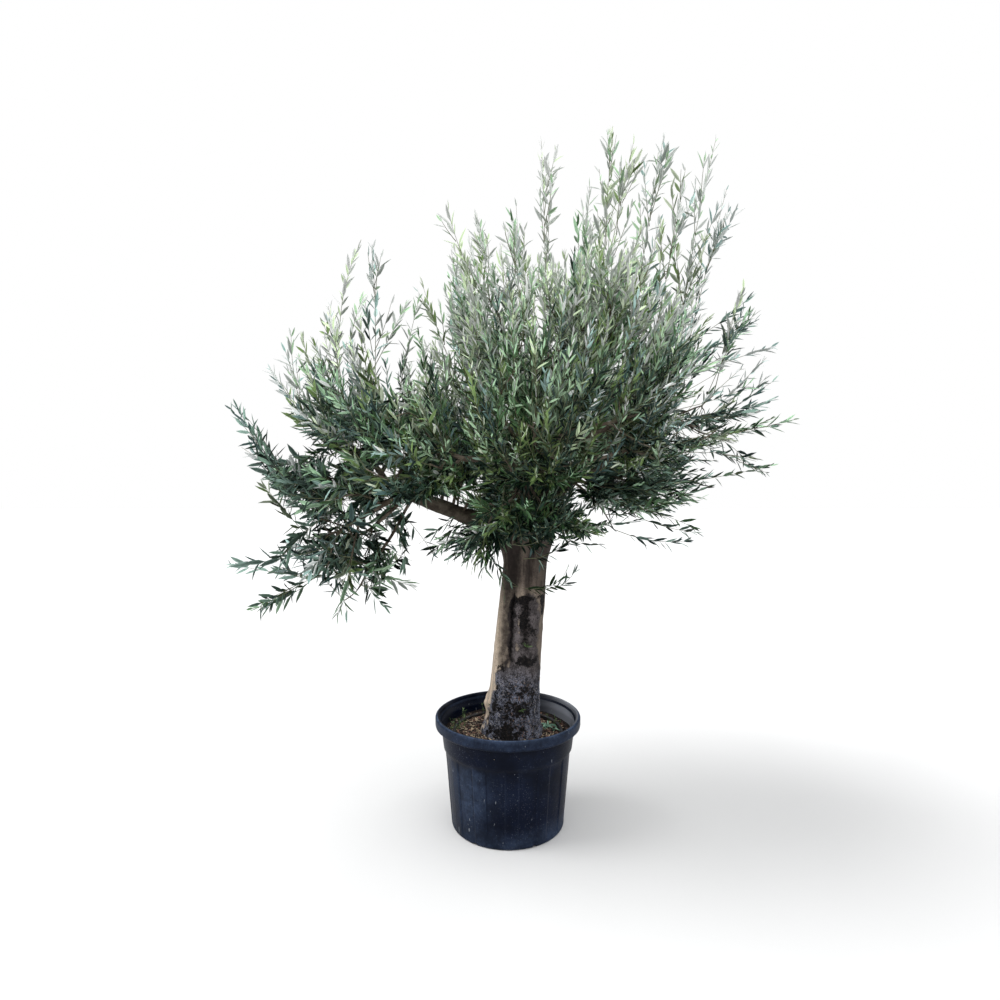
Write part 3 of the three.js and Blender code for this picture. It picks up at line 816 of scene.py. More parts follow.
def pot_profile(sizes):
    """Half profile of the pot, radius and height: underside, rounded foot, wall, rim, inside, floor."""
    lip_foot = sizes.height - sizes.rim_drop
    lip = sizes.rim_radius - 0.004
    rounding = sizes.foot_rounding
    corner = float(pot_wall(sizes, np.array(rounding))) - rounding
    rib_levels = np.linspace(rounding + 0.004, sizes.band_level - sizes.step, 26)
    band_levels = np.linspace(sizes.band_level, lip_foot, 8)
    bead = (sizes.rim_radius - sizes.rim_inner) / 2
    rim_top = sizes.height - bead
    rim_levels = np.linspace(lip_foot + 0.008, rim_top - 0.002, 4)
    inside_levels = np.linspace(lip_foot + 0.02, sizes.floor + 0.004, 14)
    inside_wall = pot_wall(sizes, inside_levels) - sizes.wall
    inside_wall -= sizes.rib_relief * (inside_levels < sizes.band_level)
    underside = np.linspace(POT_HUB, corner - 0.004, 12)
    bottom = np.linspace(inside_wall[-1] - 0.004, POT_HUB, 8)
    parts = [
        np.column_stack([underside, 0 * underside]),
        arc((corner, rounding), rounding, -90, 0, 6),
        np.column_stack([pot_wall(sizes, rib_levels), rib_levels]),
        np.column_stack([pot_wall(sizes, band_levels), band_levels]),
        # Up between the wall and the turned rim, down the rim's inner face and round its lower edge.
        [[sizes.band_top + 0.001, lip_foot + 0.01], [sizes.band_top + 0.003, rim_top - 0.004]],
        [[lip - 0.004, rim_top - 0.004], [lip - 0.002, lip_foot + 0.003], [lip - 0.001, lip_foot]],
        [[sizes.rim_radius - 0.0025, lip_foot], [sizes.rim_radius - 0.001, lip_foot + 0.002]],
        np.column_stack([np.full(4, sizes.rim_radius), rim_levels]),
        arc((sizes.rim_inner + bead, rim_top), bead, 4, 176, 15),
        [[sizes.rim_inner - 0.001, rim_top - 0.012], [sizes.rim_inner - 0.004, rim_top - 0.022]],
        np.column_stack([inside_wall, inside_levels]),
        np.column_stack([bottom, np.full(8, sizes.floor)]),
    ]
    return np.concatenate(parts)


def rib_height(sizes, angle):
    """1 on a raised rib and 0 between ribs, with a short slope at each edge, for angles from the front."""
    pitch = 2 * math.pi / sizes.ribs
    phase = np.mod((angle - sizes.rib_start) / pitch, 1.0)
    slope = 0.024
    rising = ease(phase, -slope, slope) + ease(phase, 1 - slope, 1 + slope)
    return rising - ease(phase, sizes.rib_share - slope, sizes.rib_share + slope)


def notch_angles(sizes):
    """Angles from the front to the middle of each drain notch."""
    return sizes.notch_start + np.arange(sizes.notches) * 2 * math.pi / sizes.notches


def pot_angles(sizes):
    """Angles of the pot's columns: an even ring, with a close pair at each edge of a notch."""
    even = round_angles(POT_COLUMNS)
    half = sizes.notch_width / 2 / sizes.foot_radius
    edges = [notch_angles(sizes) + side * gap for side in (-1, 1) for gap in (half, half + 0.002)]
    extra = np.mod(np.concatenate(edges) + math.pi, 2 * math.pi) - math.pi
    near = np.abs(even[:, None] - extra[None]).min(1) < 0.004
    return np.sort(np.concatenate([even[~near], extra]))


def pot_surface(sizes):
    """The pot's points and faces, with the dusting and the painted light on each point, and whether it is
    inside.

    The profile is turned round Z; the hollows between ribs are sunk by the rib's relief, the foot is lifted
    inside each notch, and slow noise leaves the wall and the rim's lower edge a little uneven.
    """
    profile = pot_profile(sizes)
    angle = pot_angles(sizes)
    radius, height = (axis[:, None] + 0 * angle[None] for axis in profile.T)
    angles = angle[None] + 0 * radius
    rows = np.arange(len(profile))[:, None] + 0 * angle[None]
    outside = rows < int(profile[:, 1].argmax())
    step_foot = sizes.band_level - sizes.step
    ribbed = ease(height, 0.008, 0.026) - ease(height, step_foot - 0.012, step_foot)
    low_wall = outside & (height > 0.002) & (height < step_foot + 0.001)
    radius = radius - sizes.rib_relief * (1 - rib_height(sizes, angles)) * ribbed * low_wall
    gap = np.abs(np.mod(angles[..., None] - notch_angles(sizes) + math.pi, 2 * math.pi) - math.pi).min(-1)
    notched = gap <= sizes.notch_width / 2 / sizes.foot_radius + 1e-6
    notched &= outside & (radius > sizes.foot_radius - 0.03)
    height = np.where(notched, np.maximum(height, sizes.notch_height), height)
    points = polar(radius, angles, height)
    lip_foot = sizes.height - sizes.rim_drop
    hanging = outside & (height < lip_foot + 0.012)
    radius = radius + 0.0006 * noise(points, 0.12, 3) * ease(height, 0.03, 0.1)
    hanging &= radius > sizes.band_top + 0.002
    height = height + np.where(hanging, 0.0012 * rough_noise(points, 0.05, 2, 9), 0)
    points = polar(radius, angles, height)
    dust = pot_dust_and_painted_light(sizes, points, angles, height, outside)
    skin = np.concatenate([points.reshape(-1, 3), [[0, 0, 0], [0, 0, sizes.floor]]])
    values = {"dust": np.append(dust.ravel(), [0.3, 0.3]), "inside": np.append((~outside).ravel(), [0, 1])}
    return skin, capped_faces(len(profile), len(angle)), values


def pot_dust_and_painted_light(sizes, points, angles, height, outside):
    """How much dusting and painted light the plastic bears, from 0 to 1.

    Dust lies on the rim and its brow, on the ribs at the left, on the foot and on the inner wall at the
    right, where it also paints the key lamp's light on that wall. A thin painted highlight runs along the
    rim's top edge; the ribs' edges bear a painted highlight, with a line of painted shade beside each.
    """
    cloud = rough_noise(points, 0.11, 4, 21)
    lip_foot = sizes.height - sizes.rim_drop
    rim = 0.3 * ease(height, lip_foot - 0.002, lip_foot + 0.006)
    foot = 0.35 * ease(height, 0.11, 0.01)
    left = 0.55 * bell(angles, math.radians(-40), math.radians(22)) * window(height, 0.02, 0.16, 0.28, 0.33)
    brow = 0.15 * ease(height, sizes.height - 0.014, sizes.height - 0.006)
    # A painted highlight: the thin line along the rim's top edge.
    brow = brow + 0.8 * ease(height, sizes.height - 0.003, sizes.height - 0.0006)
    # A painted highlight on the ribs' edges, and a line of painted shade beside each.
    pitch = 2 * math.pi / sizes.ribs
    phase = (np.mod(angles - sizes.rib_start, pitch) / pitch)[None]
    edges = np.array([0.0, 1.0, sizes.rib_share])[:, None, None]
    painted_shade_lines = edges + np.where(edges == sizes.rib_share, 0.035, -0.035)
    ribbed = window(height, 0.04, 0.08, sizes.band_level - 0.02, sizes.band_level - 0.004)
    painted_rib_shade = bell(phase, painted_shade_lines, 0.02).max(0) * ribbed
    painted_rib_highlight = bell(phase, edges, 0.02).max(0) * ribbed
    outer = (rim + brow + foot + left + 0.07 * cloud) * (1 - 0.8 * painted_rib_shade) + 0.1 * painted_rib_highlight * (1 - painted_rib_shade)
    # Inside, more at the right, where this also paints the key lamp's light falling on the inner wall.
    inner = 0.02 + 0.95 * bell(angles, math.radians(105), math.radians(34)) + 0.1 * cloud
    return np.clip(np.where(outside, outer, inner), 0, 1)


# ---- Soil, litter, drip ring and weeds -------------------------------------------------------

SOIL_COLUMNS = 300
SOIL_ROWS = 84
RING_SECTIONS = 240
RING_SIDES = 14
# Weeds on the soil: x and y of each patch, the stalks in a patch, and the rings of a stalk.
WEED_PATCHES = np.array([(-0.205, 0.10), (-0.19, 0.045), (-0.222, -0.01), (0.205, 0.08), (-0.1, 0.2)])
PATCH_STALKS = 4
STALK_RINGS = 4
# Broad-leaved weeds: x, y, number of leaves, lean in x and y.
BROAD_WEEDS = [(0.172, 0.050, 7, 0.1, -0.3), (0.192, 0.020, 4, 0.0, -0.2), (0.02, 0.21, 4, 0.0, 0.0)]
# Tufts on the trunk's bark: height, angle, number of leaves, length of a leaf.
TUFTS = [(0.747, 20, 11, 0.032), (0.496, 16, 7, 0.022), (0.50, -60, 5, 0.016), (0.66, 150, 6, 0.02)]


def soil_level(places):
    """Height of the soil at a place: the frame's root ball top, mounded at the trunk, with rough noise."""
    sizes = bpy.context.scene.olive_soil
    ring_low, ring_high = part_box("drip_ring")
    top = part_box("root_ball")[1].z
    radius = np.hypot(places[..., 0], places[..., 1])
    ring = (ring_high.x - ring_low.x) / 2
    bed = ring_low.z + 0.001
    mound = bed + (top - bed) * ease(radius, ring - 0.02, ring - 0.1)
    edge = 0.007 * ease(radius, ring + 0.008, ring + 0.03)
    uneven = 1 - 0.7 * bell(radius, ring - 0.005, 0.015)
    return mound + edge + uneven * sizes.relief * rough_noise(places * (1, 1, 0), 0.07, 4, 31) * 0.5


def soil_surface(pot):
    """The soil's points and faces: a rough top out to the pot's wall, a side down it and a flat foot."""
    angle = round_angles(SOIL_COLUMNS)
    bed = float(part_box("drip_ring")[0].z)
    gap = 0.0008
    wall = float(pot_wall(pot, np.array(bed))) - pot.wall - gap
    radius = np.append(np.linspace(0.05, wall - 0.004, SOIL_ROWS), wall)
    top = polar(radius[:, None], angle[None], 0 * radius[:, None] + 0 * angle)
    top[..., 2] = soil_level(top)
    levels = np.linspace(bed - 0.02, pot.floor + gap, 6)
    side_radius = pot_wall(pot, levels) - pot.wall - pot.rib_relief - 0.001
    side_radius = np.where(levels > pot.band_level, side_radius + pot.rib_relief, side_radius)
    side = polar(side_radius[:, None], angle[None], levels[:, None] + 0 * angle)
    rows = np.concatenate([top, side])
    centre = np.array([[0, 0, soil_level(np.zeros((1, 3)))[0]], [0, 0, pot.floor + gap]])
    return np.concatenate([rows.reshape(-1, 3), centre]), capped_faces(len(rows), len(angle), flipped=True)


def scattered(rng, number, inner, outer):
    """Random places on the ground between two radii, even over the area, off the trunk and the drip ring."""
    radius = np.sqrt(rng.uniform(inner ** 2, outer ** 2, number))
    angle = rng.uniform(-math.pi, math.pi, number)
    places = polar(radius, angle, np.zeros(number))
    centres, radii = trunk_survey()[1:]
    off_trunk = np.linalg.norm(places[:, :2] - centres[0, :2], axis=1) > radii[0] + 0.004
    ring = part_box("drip_ring")[1].x - 0.005
    return places[off_trunk & (np.abs(radius - ring) > 0.011)]


def random_frames(rng, number, tilt):
    """Three crossed unit directions for each piece: a random heading, tipped by up to the tilt."""
    heading = rng.uniform(0, 2 * math.pi, number)
    lift = rng.normal(0, tilt, number)
    first = np.stack([np.cos(heading) * np.cos(lift), np.sin(heading) * np.cos(lift), np.sin(lift)], axis=1)
    side = unit(np.cross(first, unit(UP + rng.normal(0, tilt, (number, 3)))))
    return first, side, np.cross(side, first)


def crumbs(rng, places, low, high, tilt, slender):
    """Points and faces of small six-sided blocks with crooked corners, one lying at each place."""
    number = len(places)
    first, side, upright = random_frames(rng, number, tilt)
    signs = np.array(list(itertools.product((-1, 1), repeat=3)))
    size = rng.uniform(low, high, number)[:, None]
    half = size * (slender, 0.62, 0.36) / 2
    local = signs[None] * half[:, None] * rng.uniform(0.6, 1.2, (number, 8, 3))
    points = sum(local[..., axis, None] * way[:, None] for axis, way in enumerate((first, side, upright)))
    places = places.copy()
    places[:, 2] = soil_level(places) + half[:, 2] * 0.7
    block = np.array([[0, 1, 3, 2], [4, 6, 7, 5], [0, 4, 5, 1], [2, 3, 7, 6], [0, 2, 6, 4], [1, 5, 7, 3]])
    faces = (block[None] + 8 * np.arange(number)[:, None, None]).reshape(-1, 4)
    handed = np.einsum("ij,ij->i", np.cross(first, side), upright) > 0
    faces = np.where(np.repeat(handed, 6)[:, None], faces, faces[:, ::-1])
    return (points + places[:, None]).reshape(-1, 3), [faces]


def ring_surface(circle, tube, level, sway):
    """A closed ring of tube: its centre line runs round at the level, swaying up and down a little."""
    angle = round_angles(RING_SECTIONS)[:, None]
    around = round_angles(RING_SIDES, 0)[None]
    height = level + sway * np.sin(3 * angle + 1) + tube * np.sin(around)
    points = polar(circle + tube * np.cos(around) + 0 * angle, angle + 0 * around, height)
    faces = grid_faces(RING_SECTIONS + 1, RING_SIDES) % (RING_SECTIONS * RING_SIDES)
    return points.reshape(-1, 3), [faces]


def rosettes(rng, roots, leaves, long, lift, lean):
    """Base, along, facing and length of leaves that spread from each root.

    A leaf points at a random angle round the root, raised by the lift and tipped by the root's lean; its
    upper side faces up between the leaves.
    """
    owner = np.repeat(np.arange(len(roots)), leaves)
    angle = rng.uniform(0, 2 * math.pi, len(owner))
    rise = lift * rng.uniform(0.4, 1.6, len(owner))
    along = unit(np.stack([np.cos(angle), np.sin(angle), rise], axis=1) + lean[owner])
    facing = squared(UP + 0.3 * rng.normal(0, 1, along.shape), along)
    return roots[owner], along, facing, long * rng.uniform(0.6, 1.2, len(owner))


def trunk_tufts():
    """Roots of the tufts of green on the trunk's bark, and the way out of the bark at each."""
    heights, centres, radii = trunk_survey()
    level, angle = np.array(TUFTS).T[:2]
    out = polar(1 + 0 * angle, np.radians(angle), 0 * angle)
    reach = np.interp(level, heights, radii) + 0.004
    return along_line(level, heights, centres) + out * reach[:, None], out


# ---- Trunk and boughs ------------------------------------------------------------------------

def bent(angles, middle, width):
    """A bell curve of the angle round the trunk, in degrees, that joins up behind."""
    gap = np.mod(angles - middle + 180, 360) - 180
    return np.exp(-((gap / width) ** 2))


# Heights, and the angle of the grey bark's left edge, its right edge and the open fissure at each.
LEFT_EDGE = ([0.37, 0.46, 0.56, 0.64, 0.7, 0.95, 1.0], [-86, -68, -52, -42, -28, -26, -26])
RIGHT_EDGE = ([0.37, 0.5, 0.56, 0.63, 0.7, 1.0], [125, 108, 96, 78, 58, 46])
FISSURE = ([0.6, 0.65, 0.8, 0.92, 1.2], [-17, -19, -22, -26, -24])
# Strands in front: angle, width in degrees, rise in metres.
STRANDS = [(4, 4.5, 0.003), (18, 5, -0.004), (31, 6, 0.003), (52, 14, 0.005), (-58, 20, 0.006)]
# Grooves behind: angle, width in degrees, depth as a share.
GROOVES = [(98, 7, 0.7), (127, 5, 1.0), (152, 9, 0.8), (-170, 6, 1.0), (-138, 8, 0.7), (-108, 6, 0.5)]
# Knots: angle, height, width in degrees, half height in metres, darkness.
KNOTS = [
    (31, 0.815, 5.5, 0.008, 0.9), (-35, 0.655, 5, 0.008, 0.5), (86, 0.81, 4, 0.006, 0.7),
    (63, 0.93, 13, 0.026, 1.6), (66, 0.885, 10, 0.018, 1.5), (-46, 0.58, 6, 0.009, 0.6),
    (-60, 0.56, 5, 0.007, 0.5), (-88, 0.735, 5, 0.006, 0.3), (-20, 0.88, 6, 0.012, 0.8),
    (140, 0.9, 8, 0.014, 0.8), (-150, 0.75, 9, 0.016, 0.8), (175, 0.6, 7, 0.012, 0.7),
]
# What is added to the trunk's mean radius, so that it keeps its girth under the relief's hollows.
GIRTH = 0.0016


def bark_regions(angles, heights, points):
    """Where the bark is rough and grey, brown and smooth, blue grey at the foot, and rusty: 0 to 1 each.

    The grey bark fills the front's middle up to 0.95 m and spreads to both sides towards the foot. Its edges
    wander with noise of 90 and 30 mm, and near the foot with noise of 16 mm too. Behind, it comes and goes
    with slow noise, and there is more of it low down.
    """
    wander = 12 * noise(points, 0.09, 41) + 9 * noise(points, 0.03, 40)
    wander = wander + 13 * noise(points, 0.016, 34) * ease(heights, 0.68, 0.56)
    left_edge = np.interp(heights, *LEFT_EDGE) + wander
    right_edge = np.interp(heights, *RIGHT_EDGE) + wander
    soft = 12 + 12 * ease(heights, 0.7, 0.5)
    front = ease(angles, left_edge - soft, left_edge + soft) * ease(angles, right_edge + 20, right_edge - 20)
    ceiling = 0.955 + 0.02 * noise(points, 0.04, 42)
    front = front * ease(heights, ceiling + 0.03, ceiling - 0.03)
    front = front * (1 - 0.8 * bent(angles, -20, 5) * bell(heights, 0.68, 0.018))
    ridge = bent(angles + 4 * noise(points, 0.03, 36), -4, 8) * window(heights, 0.69, 0.74, 0.88, 0.94)
    front = front * (1 - 0.3 * ridge)
    behind = ease(np.abs(angles), 85, 110)
    rear = behind * ease(rough_noise(points, 0.16, 3, 43) + (0.72 - heights) * 3.2, -0.35, 0.4)
    rough = np.clip(np.maximum(front, rear), 0, 1)
    upper = ease(heights + 0.03 * noise(points, 0.08, 44), 0.84, 1.02)
    upper = np.maximum(upper, 0.7 * bent(angles, 58, 32) * ease(heights, 0.5, 0.7))
    low = ease(heights + 0.03 * noise(points, 0.06, 39), 0.68, 0.56)
    rust = bent(angles, 12, 34) * ease(heights, 0.66, 0.56)
    return rough, upper, low, np.maximum(rust, 0.4 * behind * ease(heights, 0.7, 0.5))


def strand_relief(angles, heights, upright):
    """Relief of the strands in front and of the grooves behind, which wind as they rise.

    Each groove comes and goes with height and has a low ridge beside it.
    """
    relief = 0 * heights
    for middle, width, rise in STRANDS:
        winding = angles + 3 * np.sin(heights * 9 + middle)
        relief += rise * bent(winding, middle, width) * ease(heights, 0.55, 0.7)
    for middle, width, depth in GROOVES:
        way = middle + 7 * np.sin(heights * 7 + middle) + 2 * noise(upright, 0.05, middle + 300)
        strength = 0.5 + 0.5 * np.sin(heights * 11 + middle * 2)
        relief -= 0.008 * depth * strength * bent(angles, way, width)
        relief += 0.003 * depth * bent(angles, way + 2.2 * width, width)
    return relief


def knot_relief(angles, heights):
    """Relief of the knots, hollows with a collar round each, and how dark they are."""
    relief = 0 * heights
    dark = 0 * heights
    for middle, level, width, tall, black in KNOTS:
        spot = bent(angles, middle, width) * bell(heights, level, tall)
        collar = bent(angles, middle, width * 1.8) * bell(heights, level, tall * 1.8)
        relief += 0.005 * collar - 0.006 * spot
        dark += black * spot
    return relief, dark


def stain_relief(angles, heights, points, rough):
    """Relief of the ledges and of the foot's groove, and how dark the stains are, with painted shade in the
    groove.

    The stains are patches of noise on the rough bark, a column over the front's middle, a shelf and a brow
    across the front, a tarnished patch low at the left and the black of the foot.
    """
    stain = ease(rough_noise(points, 0.05, 3, 47), 0.1, 0.6) * rough
    column = bent(angles, 4, 17) * window(heights, 0.74, 0.84, 0.94, 0.975)
    column = column * ease(rough_noise(points, 0.05, 3, 48), -0.5, 0.3)
    shelf = bent(angles, 36, 40) * bell(heights, 0.69 + 0.014 * noise(points, 0.025, 38), 0.015)
    shelf = np.maximum(shelf, bent(angles, -46, 14) * bell(heights, 0.665, 0.016))
    brow = bent(angles, 22, 34) * bell(heights, 0.94 + 0.012 * noise(points, 0.03, 33), 0.013)
    tarnish = bent(angles, -70, 26) * ease(heights, 0.57, 0.5)
    tarnish = tarnish * ease(rough_noise(points, 0.022, 3, 32), 0.05, 0.5)
    foot = bent(angles, 16, 40) * ease(heights, 0.63, 0.57)
    foot = foot * ease(rough_noise(points, 0.03, 3, 49), -0.45, 0.35)
    groove = bent(angles, -16, 5) * ease(heights, 0.56, 0.5)
    apex = bent(angles, -20, 6) * bell(heights, 0.68, 0.02)
    dark = 0.3 * stain + 0.4 * column + 0.8 * shelf + 0.6 * brow + 0.85 * tarnish + 0.45 * foot
    # Painted shade in the foot's groove; lighter at the apex.
    dark += 0.2 * groove - 0.5 * apex + 0.12 * rough - 0.3 * (1 - rough)
    return 0.004 * apex - 0.006 * groove - 0.003 * shelf, dark


def trunk_relief(angles, heights, points, rough, fissure_depth):
    """Height of the trunk's relief over its mean radius, how dark each point is with stains and painted
    shade, and how much more painted shade it bears.

    The relief is a sum of bell-shaped ridges and grooves along lines up the trunk: the open fissure with its
    lips, the two legs that part under it, a valley, a ridge and a flute beside it, strands, feet, a burl and
    knots. Noise makes the rough bark flaky.
    """
    upright = points * UP
    spread = ease(heights, 0.69, 0.42)
    left_leg = bent(angles, -18 - 34 * spread, 8) * ease(heights, 0.71, 0.66)
    right_leg = bent(angles, -17 + 27 * spread, 7) * window(heights, 0.38, 0.5, 0.66, 0.71)
    line = np.interp(heights, *FISSURE) + 2.4 * noise(upright, 0.03, 45) + 2.2 * noise(upright, 0.011, 35)
    opened = window(heights, 0.64, 0.7, 0.93, 0.985)
    ragged = np.clip(1 + 0.8 * rough_noise(points, 0.026, 2, 37), 0.25, 2)
    ragged = ragged * (0.7 + 0.3 * ease(heights, 0.8, 0.9))
    fissure = bent(angles, line, 3.6 * ragged) * opened
    beside = bent(angles, line + 1, 9 * ragged * (1 + 0.5 * ease(heights, 0.8, 0.88))) * opened
    shallow = bent(angles, line, 7) * window(heights, 0.9, 1.0, 1.16, 1.24)
    lips = (bent(angles, line - 8, 5) + bent(angles, line + 8, 4)) * opened
    valley = bent(angles, line - 12, 20) * window(heights, 0.62, 0.7, 1.1, 1.3)
    ridge = bent(angles, line + 15, 6) * window(heights, 0.66, 0.72, 0.9, 0.96)
    flute = bent(angles, line + 38, 9) * window(heights, 0.72, 0.78, 1.1, 1.3)
    feet = 0.5 + 0.5 * np.cos(np.radians(angles) * 5 + 0.9)
    burl = bent(angles, -88, 17) * bell(heights, 0.5, 0.036)
    knots, knots_dark = knot_relief(angles, heights)
    ledges, stains_dark = stain_relief(angles, heights, points, rough)

    relief = GIRTH + 0.006 * left_leg + 0.006 * right_leg + 0.004 * lips - 0.004 * shallow
    relief -= fissure_depth * fissure * (0.5 + 0.5 * ease(heights, 0.8, 0.9))
    relief += 0.010 * ridge - 0.014 * valley - 0.009 * flute + 0.005 * bent(angles, 90, 36)
    relief += 0.012 * feet * ease(heights, 0.47, 0.37)
    relief += 0.015 * burl * (1 + 0.4 * noise(points, 0.016, 46))
    relief += strand_relief(angles, heights, upright) + knots + ledges
    flaky = rough * (0.55 + 0.45 * ease(heights, 0.68, 0.55))
    relief += flaky * (0.0032 * rough_noise(points, 0.022, 3, 50) + 0.0016 * noise(points, 0.006, 51))
    relief += (1 - rough) * (0.001 * rough_noise(points * (1, 1, 0.3), 0.02, 3, 52))

    # Painted shade in the fissure, beside it, in the shallow groove and in the flute; lighter on the ridge.
    dark = 0.2 * fissure + 0.42 * beside + 0.25 * shallow - 0.3 * ridge + 0.25 * flute
    dark += knots_dark + stains_dark
    # Painted shade in the valley and the flute, on the right side away from the key lamp and under the fork;
    # less on the ridge.
    sheltered = 1.3 * valley + 0.7 * flute - 0.5 * ridge
    sheltered += 0.6 * bent(angles, 75, 45) * ease(heights, 0.5, 0.7)
    sheltered += 0.3 * bent(angles, 30, 60) * ease(heights, 1.0, 1.15)
    return relief, np.clip(dark, -0.3, 1.2), np.clip(sheltered, 0, 0.92)


def trunk_surface(sizes):
    """The trunk's points, faces and bark values on a grid of angle and height.

    The radius is the frame trunk's mean radius at the height, plus soft flutes, a swelling towards each
    bough and the bark's relief. The top closes in a low dome inside the fork.
    """
    stations, middles, radii = trunk_survey()
    foot, top = stations[0] - 0.03, stations[-1]
    heights = np.linspace(foot, top, sizes.rows)
    centres = along_line(heights, stations, middles[:, :2])
    mean = np.interp(heights, stations, radii)[:, None]
    angle = round_angles(sizes.columns)
    level = heights[:, None] + 0 * angle
    around = angle[None] + 0 * level
    degrees = np.degrees(around)
    smooth = polar(mean + 0 * angle, around, level)
    smooth[..., :2] += centres[:, None]
    rough, upper, low, rust = bark_regions(degrees, level, smooth)
    relief, dark, sheltered = trunk_relief(degrees, level, smooth, rough, sizes.fissure_depth)
    radius = mean * (1 + 0.02 * np.cos(5 * angle + 2.2 + 3 * level)) + relief
    for bough in BOUGHS:
        start, end = limb_ends(bough)
        way = math.degrees(math.atan2(end[0] - start[0], start[1] - end[1]))
        swell = {"bough_left": 0.028, "bough_leader": 0.0}.get(bough, 0.008)
        radius += swell * bent(degrees, way, 30) * ease(level, top - 0.2, top - 0.05)
    radius = radius * (1 - ease(level, top - 0.035, top + 0.012) ** 2 * 0.8)
    points = polar(radius, around, level)
    points[..., :2] += centres[:, None]
    ends = np.array([[*centres[0], foot], [*centres[-1], top]])
    values = {"rough": rough, "upper": upper, "low": low, "rust": rust, "dark": dark, "sheltered": sheltered}
    values = {name: np.append(numbers.ravel(), [0.5, 0.5]) for name, numbers in values.items()}
    skin = np.concatenate([points.reshape(-1, 3), ends])
    return skin, capped_faces(sizes.rows, sizes.columns), values


@lru_cache(maxsize=None)
def bough_line(bough, stations=24):
    """Centres and radii along a bough of the frame, from inside the fork to its end in the foliage."""
    start, end = limb_ends(bough)
    direction = unit(end - start)
    reach = np.linalg.norm(end - start)
    shares = np.linspace(0.06, 0.94, BOUGH_PLACES) * reach
    centres, radii = sections(bough, start, direction, shares)
    root = fork_centre() + (centres[0] - fork_centre()) * 0.1
    centres = np.concatenate([[root], centres, [centres[-1] + direction * 0.06 * reach]])
    radii = np.concatenate([[radii[0] * 1.2], radii, [radii[-1] * 0.97]])
    for _ in range(3):
        centres[1:-1] = (centres[:-2] + 2 * centres[1:-1] + centres[2:]) / 4
    run = np.concatenate([[0], np.cumsum(np.linalg.norm(np.diff(centres, axis=0), axis=1))])
    even = np.linspace(0, run[-1], stations)
    return along_line(even, run, centres), np.interp(even, run, radii)


def bough_surfaces(sizes):
    """Points and faces of all boughs: each a profile carried along its line.

    The radius swells by half into the fork, and bark noise and slow ridges stand on it.
    """
    all_points = []
    all_faces = []
    offset = 0
    columns = sizes.bough_columns
    angle = round_angles(columns, 0)
    for number, bough in enumerate(BOUGHS):
        line, radii = bough_line(bough, sizes.bough_rows)
        last = np.full(len(line), len(line) - 1)
        tangent, across, upward = ring_frames(line, 0 * last, last)
        spoke = spokes(angle, across, upward)
        run = np.linspace(0, 1, len(line))[:, None]
        ridges = 0.05 * np.sin(3 * angle + 5 * run + number)
        radius = radii[:, None] * (1 + 0.45 * ease(run, 0.42, 0.08) + ridges)
        smooth = line[:, None] + radius[..., None] * spoke
        radius = radius + 0.003 * rough_noise(smooth, 0.05, 4, 60 + number)
        points = (line[:, None] + radius[..., None] * spoke).reshape(-1, 3)
        ends = np.stack([line[0], line[-1] + tangent[-1] * radii[-1] * 0.5])
        all_points += [points, ends]
        all_faces += [group + offset for group in capped_faces(len(line), columns)]
        offset += len(points) + len(ends)
    return np.concatenate(all_points), all_faces


# ---- Crown: where the shoots stand ------------------------------------------------------------

# How far outside a mass a place is tried, to see whether it lies free.
PROBE = 0.02
SURFACE_SAMPLES = 14000


def exposed_samples(rng, number):
    """Random places on the outside of the foliage masses, with their outward directions and mass centres.

    Places are even over the area; one that lies against or inside a neighbouring mass is left out.
    """
    shapes = {mass: triangles_of(mass) for mass in MASSES}
    normals = {}
    areas = {}
    for mass, shape in shapes.items():
        cross = np.cross(shape[:, 1] - shape[:, 0], shape[:, 2] - shape[:, 0])
        areas[mass] = np.linalg.norm(cross, axis=1) / 2
        normals[mass] = unit(cross)
    whole = sum(area.sum() for area in areas.values())
    found = []
    for mass, shape in shapes.items():
        take = int(number * areas[mass].sum() / whole)
        chosen = rng.choice(len(shape), take, p=areas[mass] / areas[mass].sum())
        weights = rng.dirichlet((1, 1, 1), take)
        places = np.einsum("ij,ijk->ik", weights, shape[chosen])
        outward = normals[mass][chosen]
        probe = places + outward * PROBE
        free = np.ones(take, bool)
        for other, neighbour in shapes.items():
            low, high = neighbour.min((0, 1)), neighbour.max((0, 1))
            near = (other != mass) & free & (probe > low).all(1) & (probe < high).all(1)
            if near.any():
                free[near] = ~inside(probe[near], neighbour)
        centre = np.broadcast_to(shape.mean((0, 1)), places.shape)
        found.append(np.stack([places, outward, centre], axis=1)[free])
    return np.concatenate(found)


def thinned(rng, places, spacing):
    """Numbers of the places kept when, in random order, each one too near to a kept place is dropped."""
    order = rng.permutation(len(places))
    kept = np.empty(0, int)
    for candidate in order:
        if not len(kept) or np.linalg.norm(places[kept] - places[candidate], axis=1).min() > spacing:
            kept = np.append(kept, candidate)
    return kept


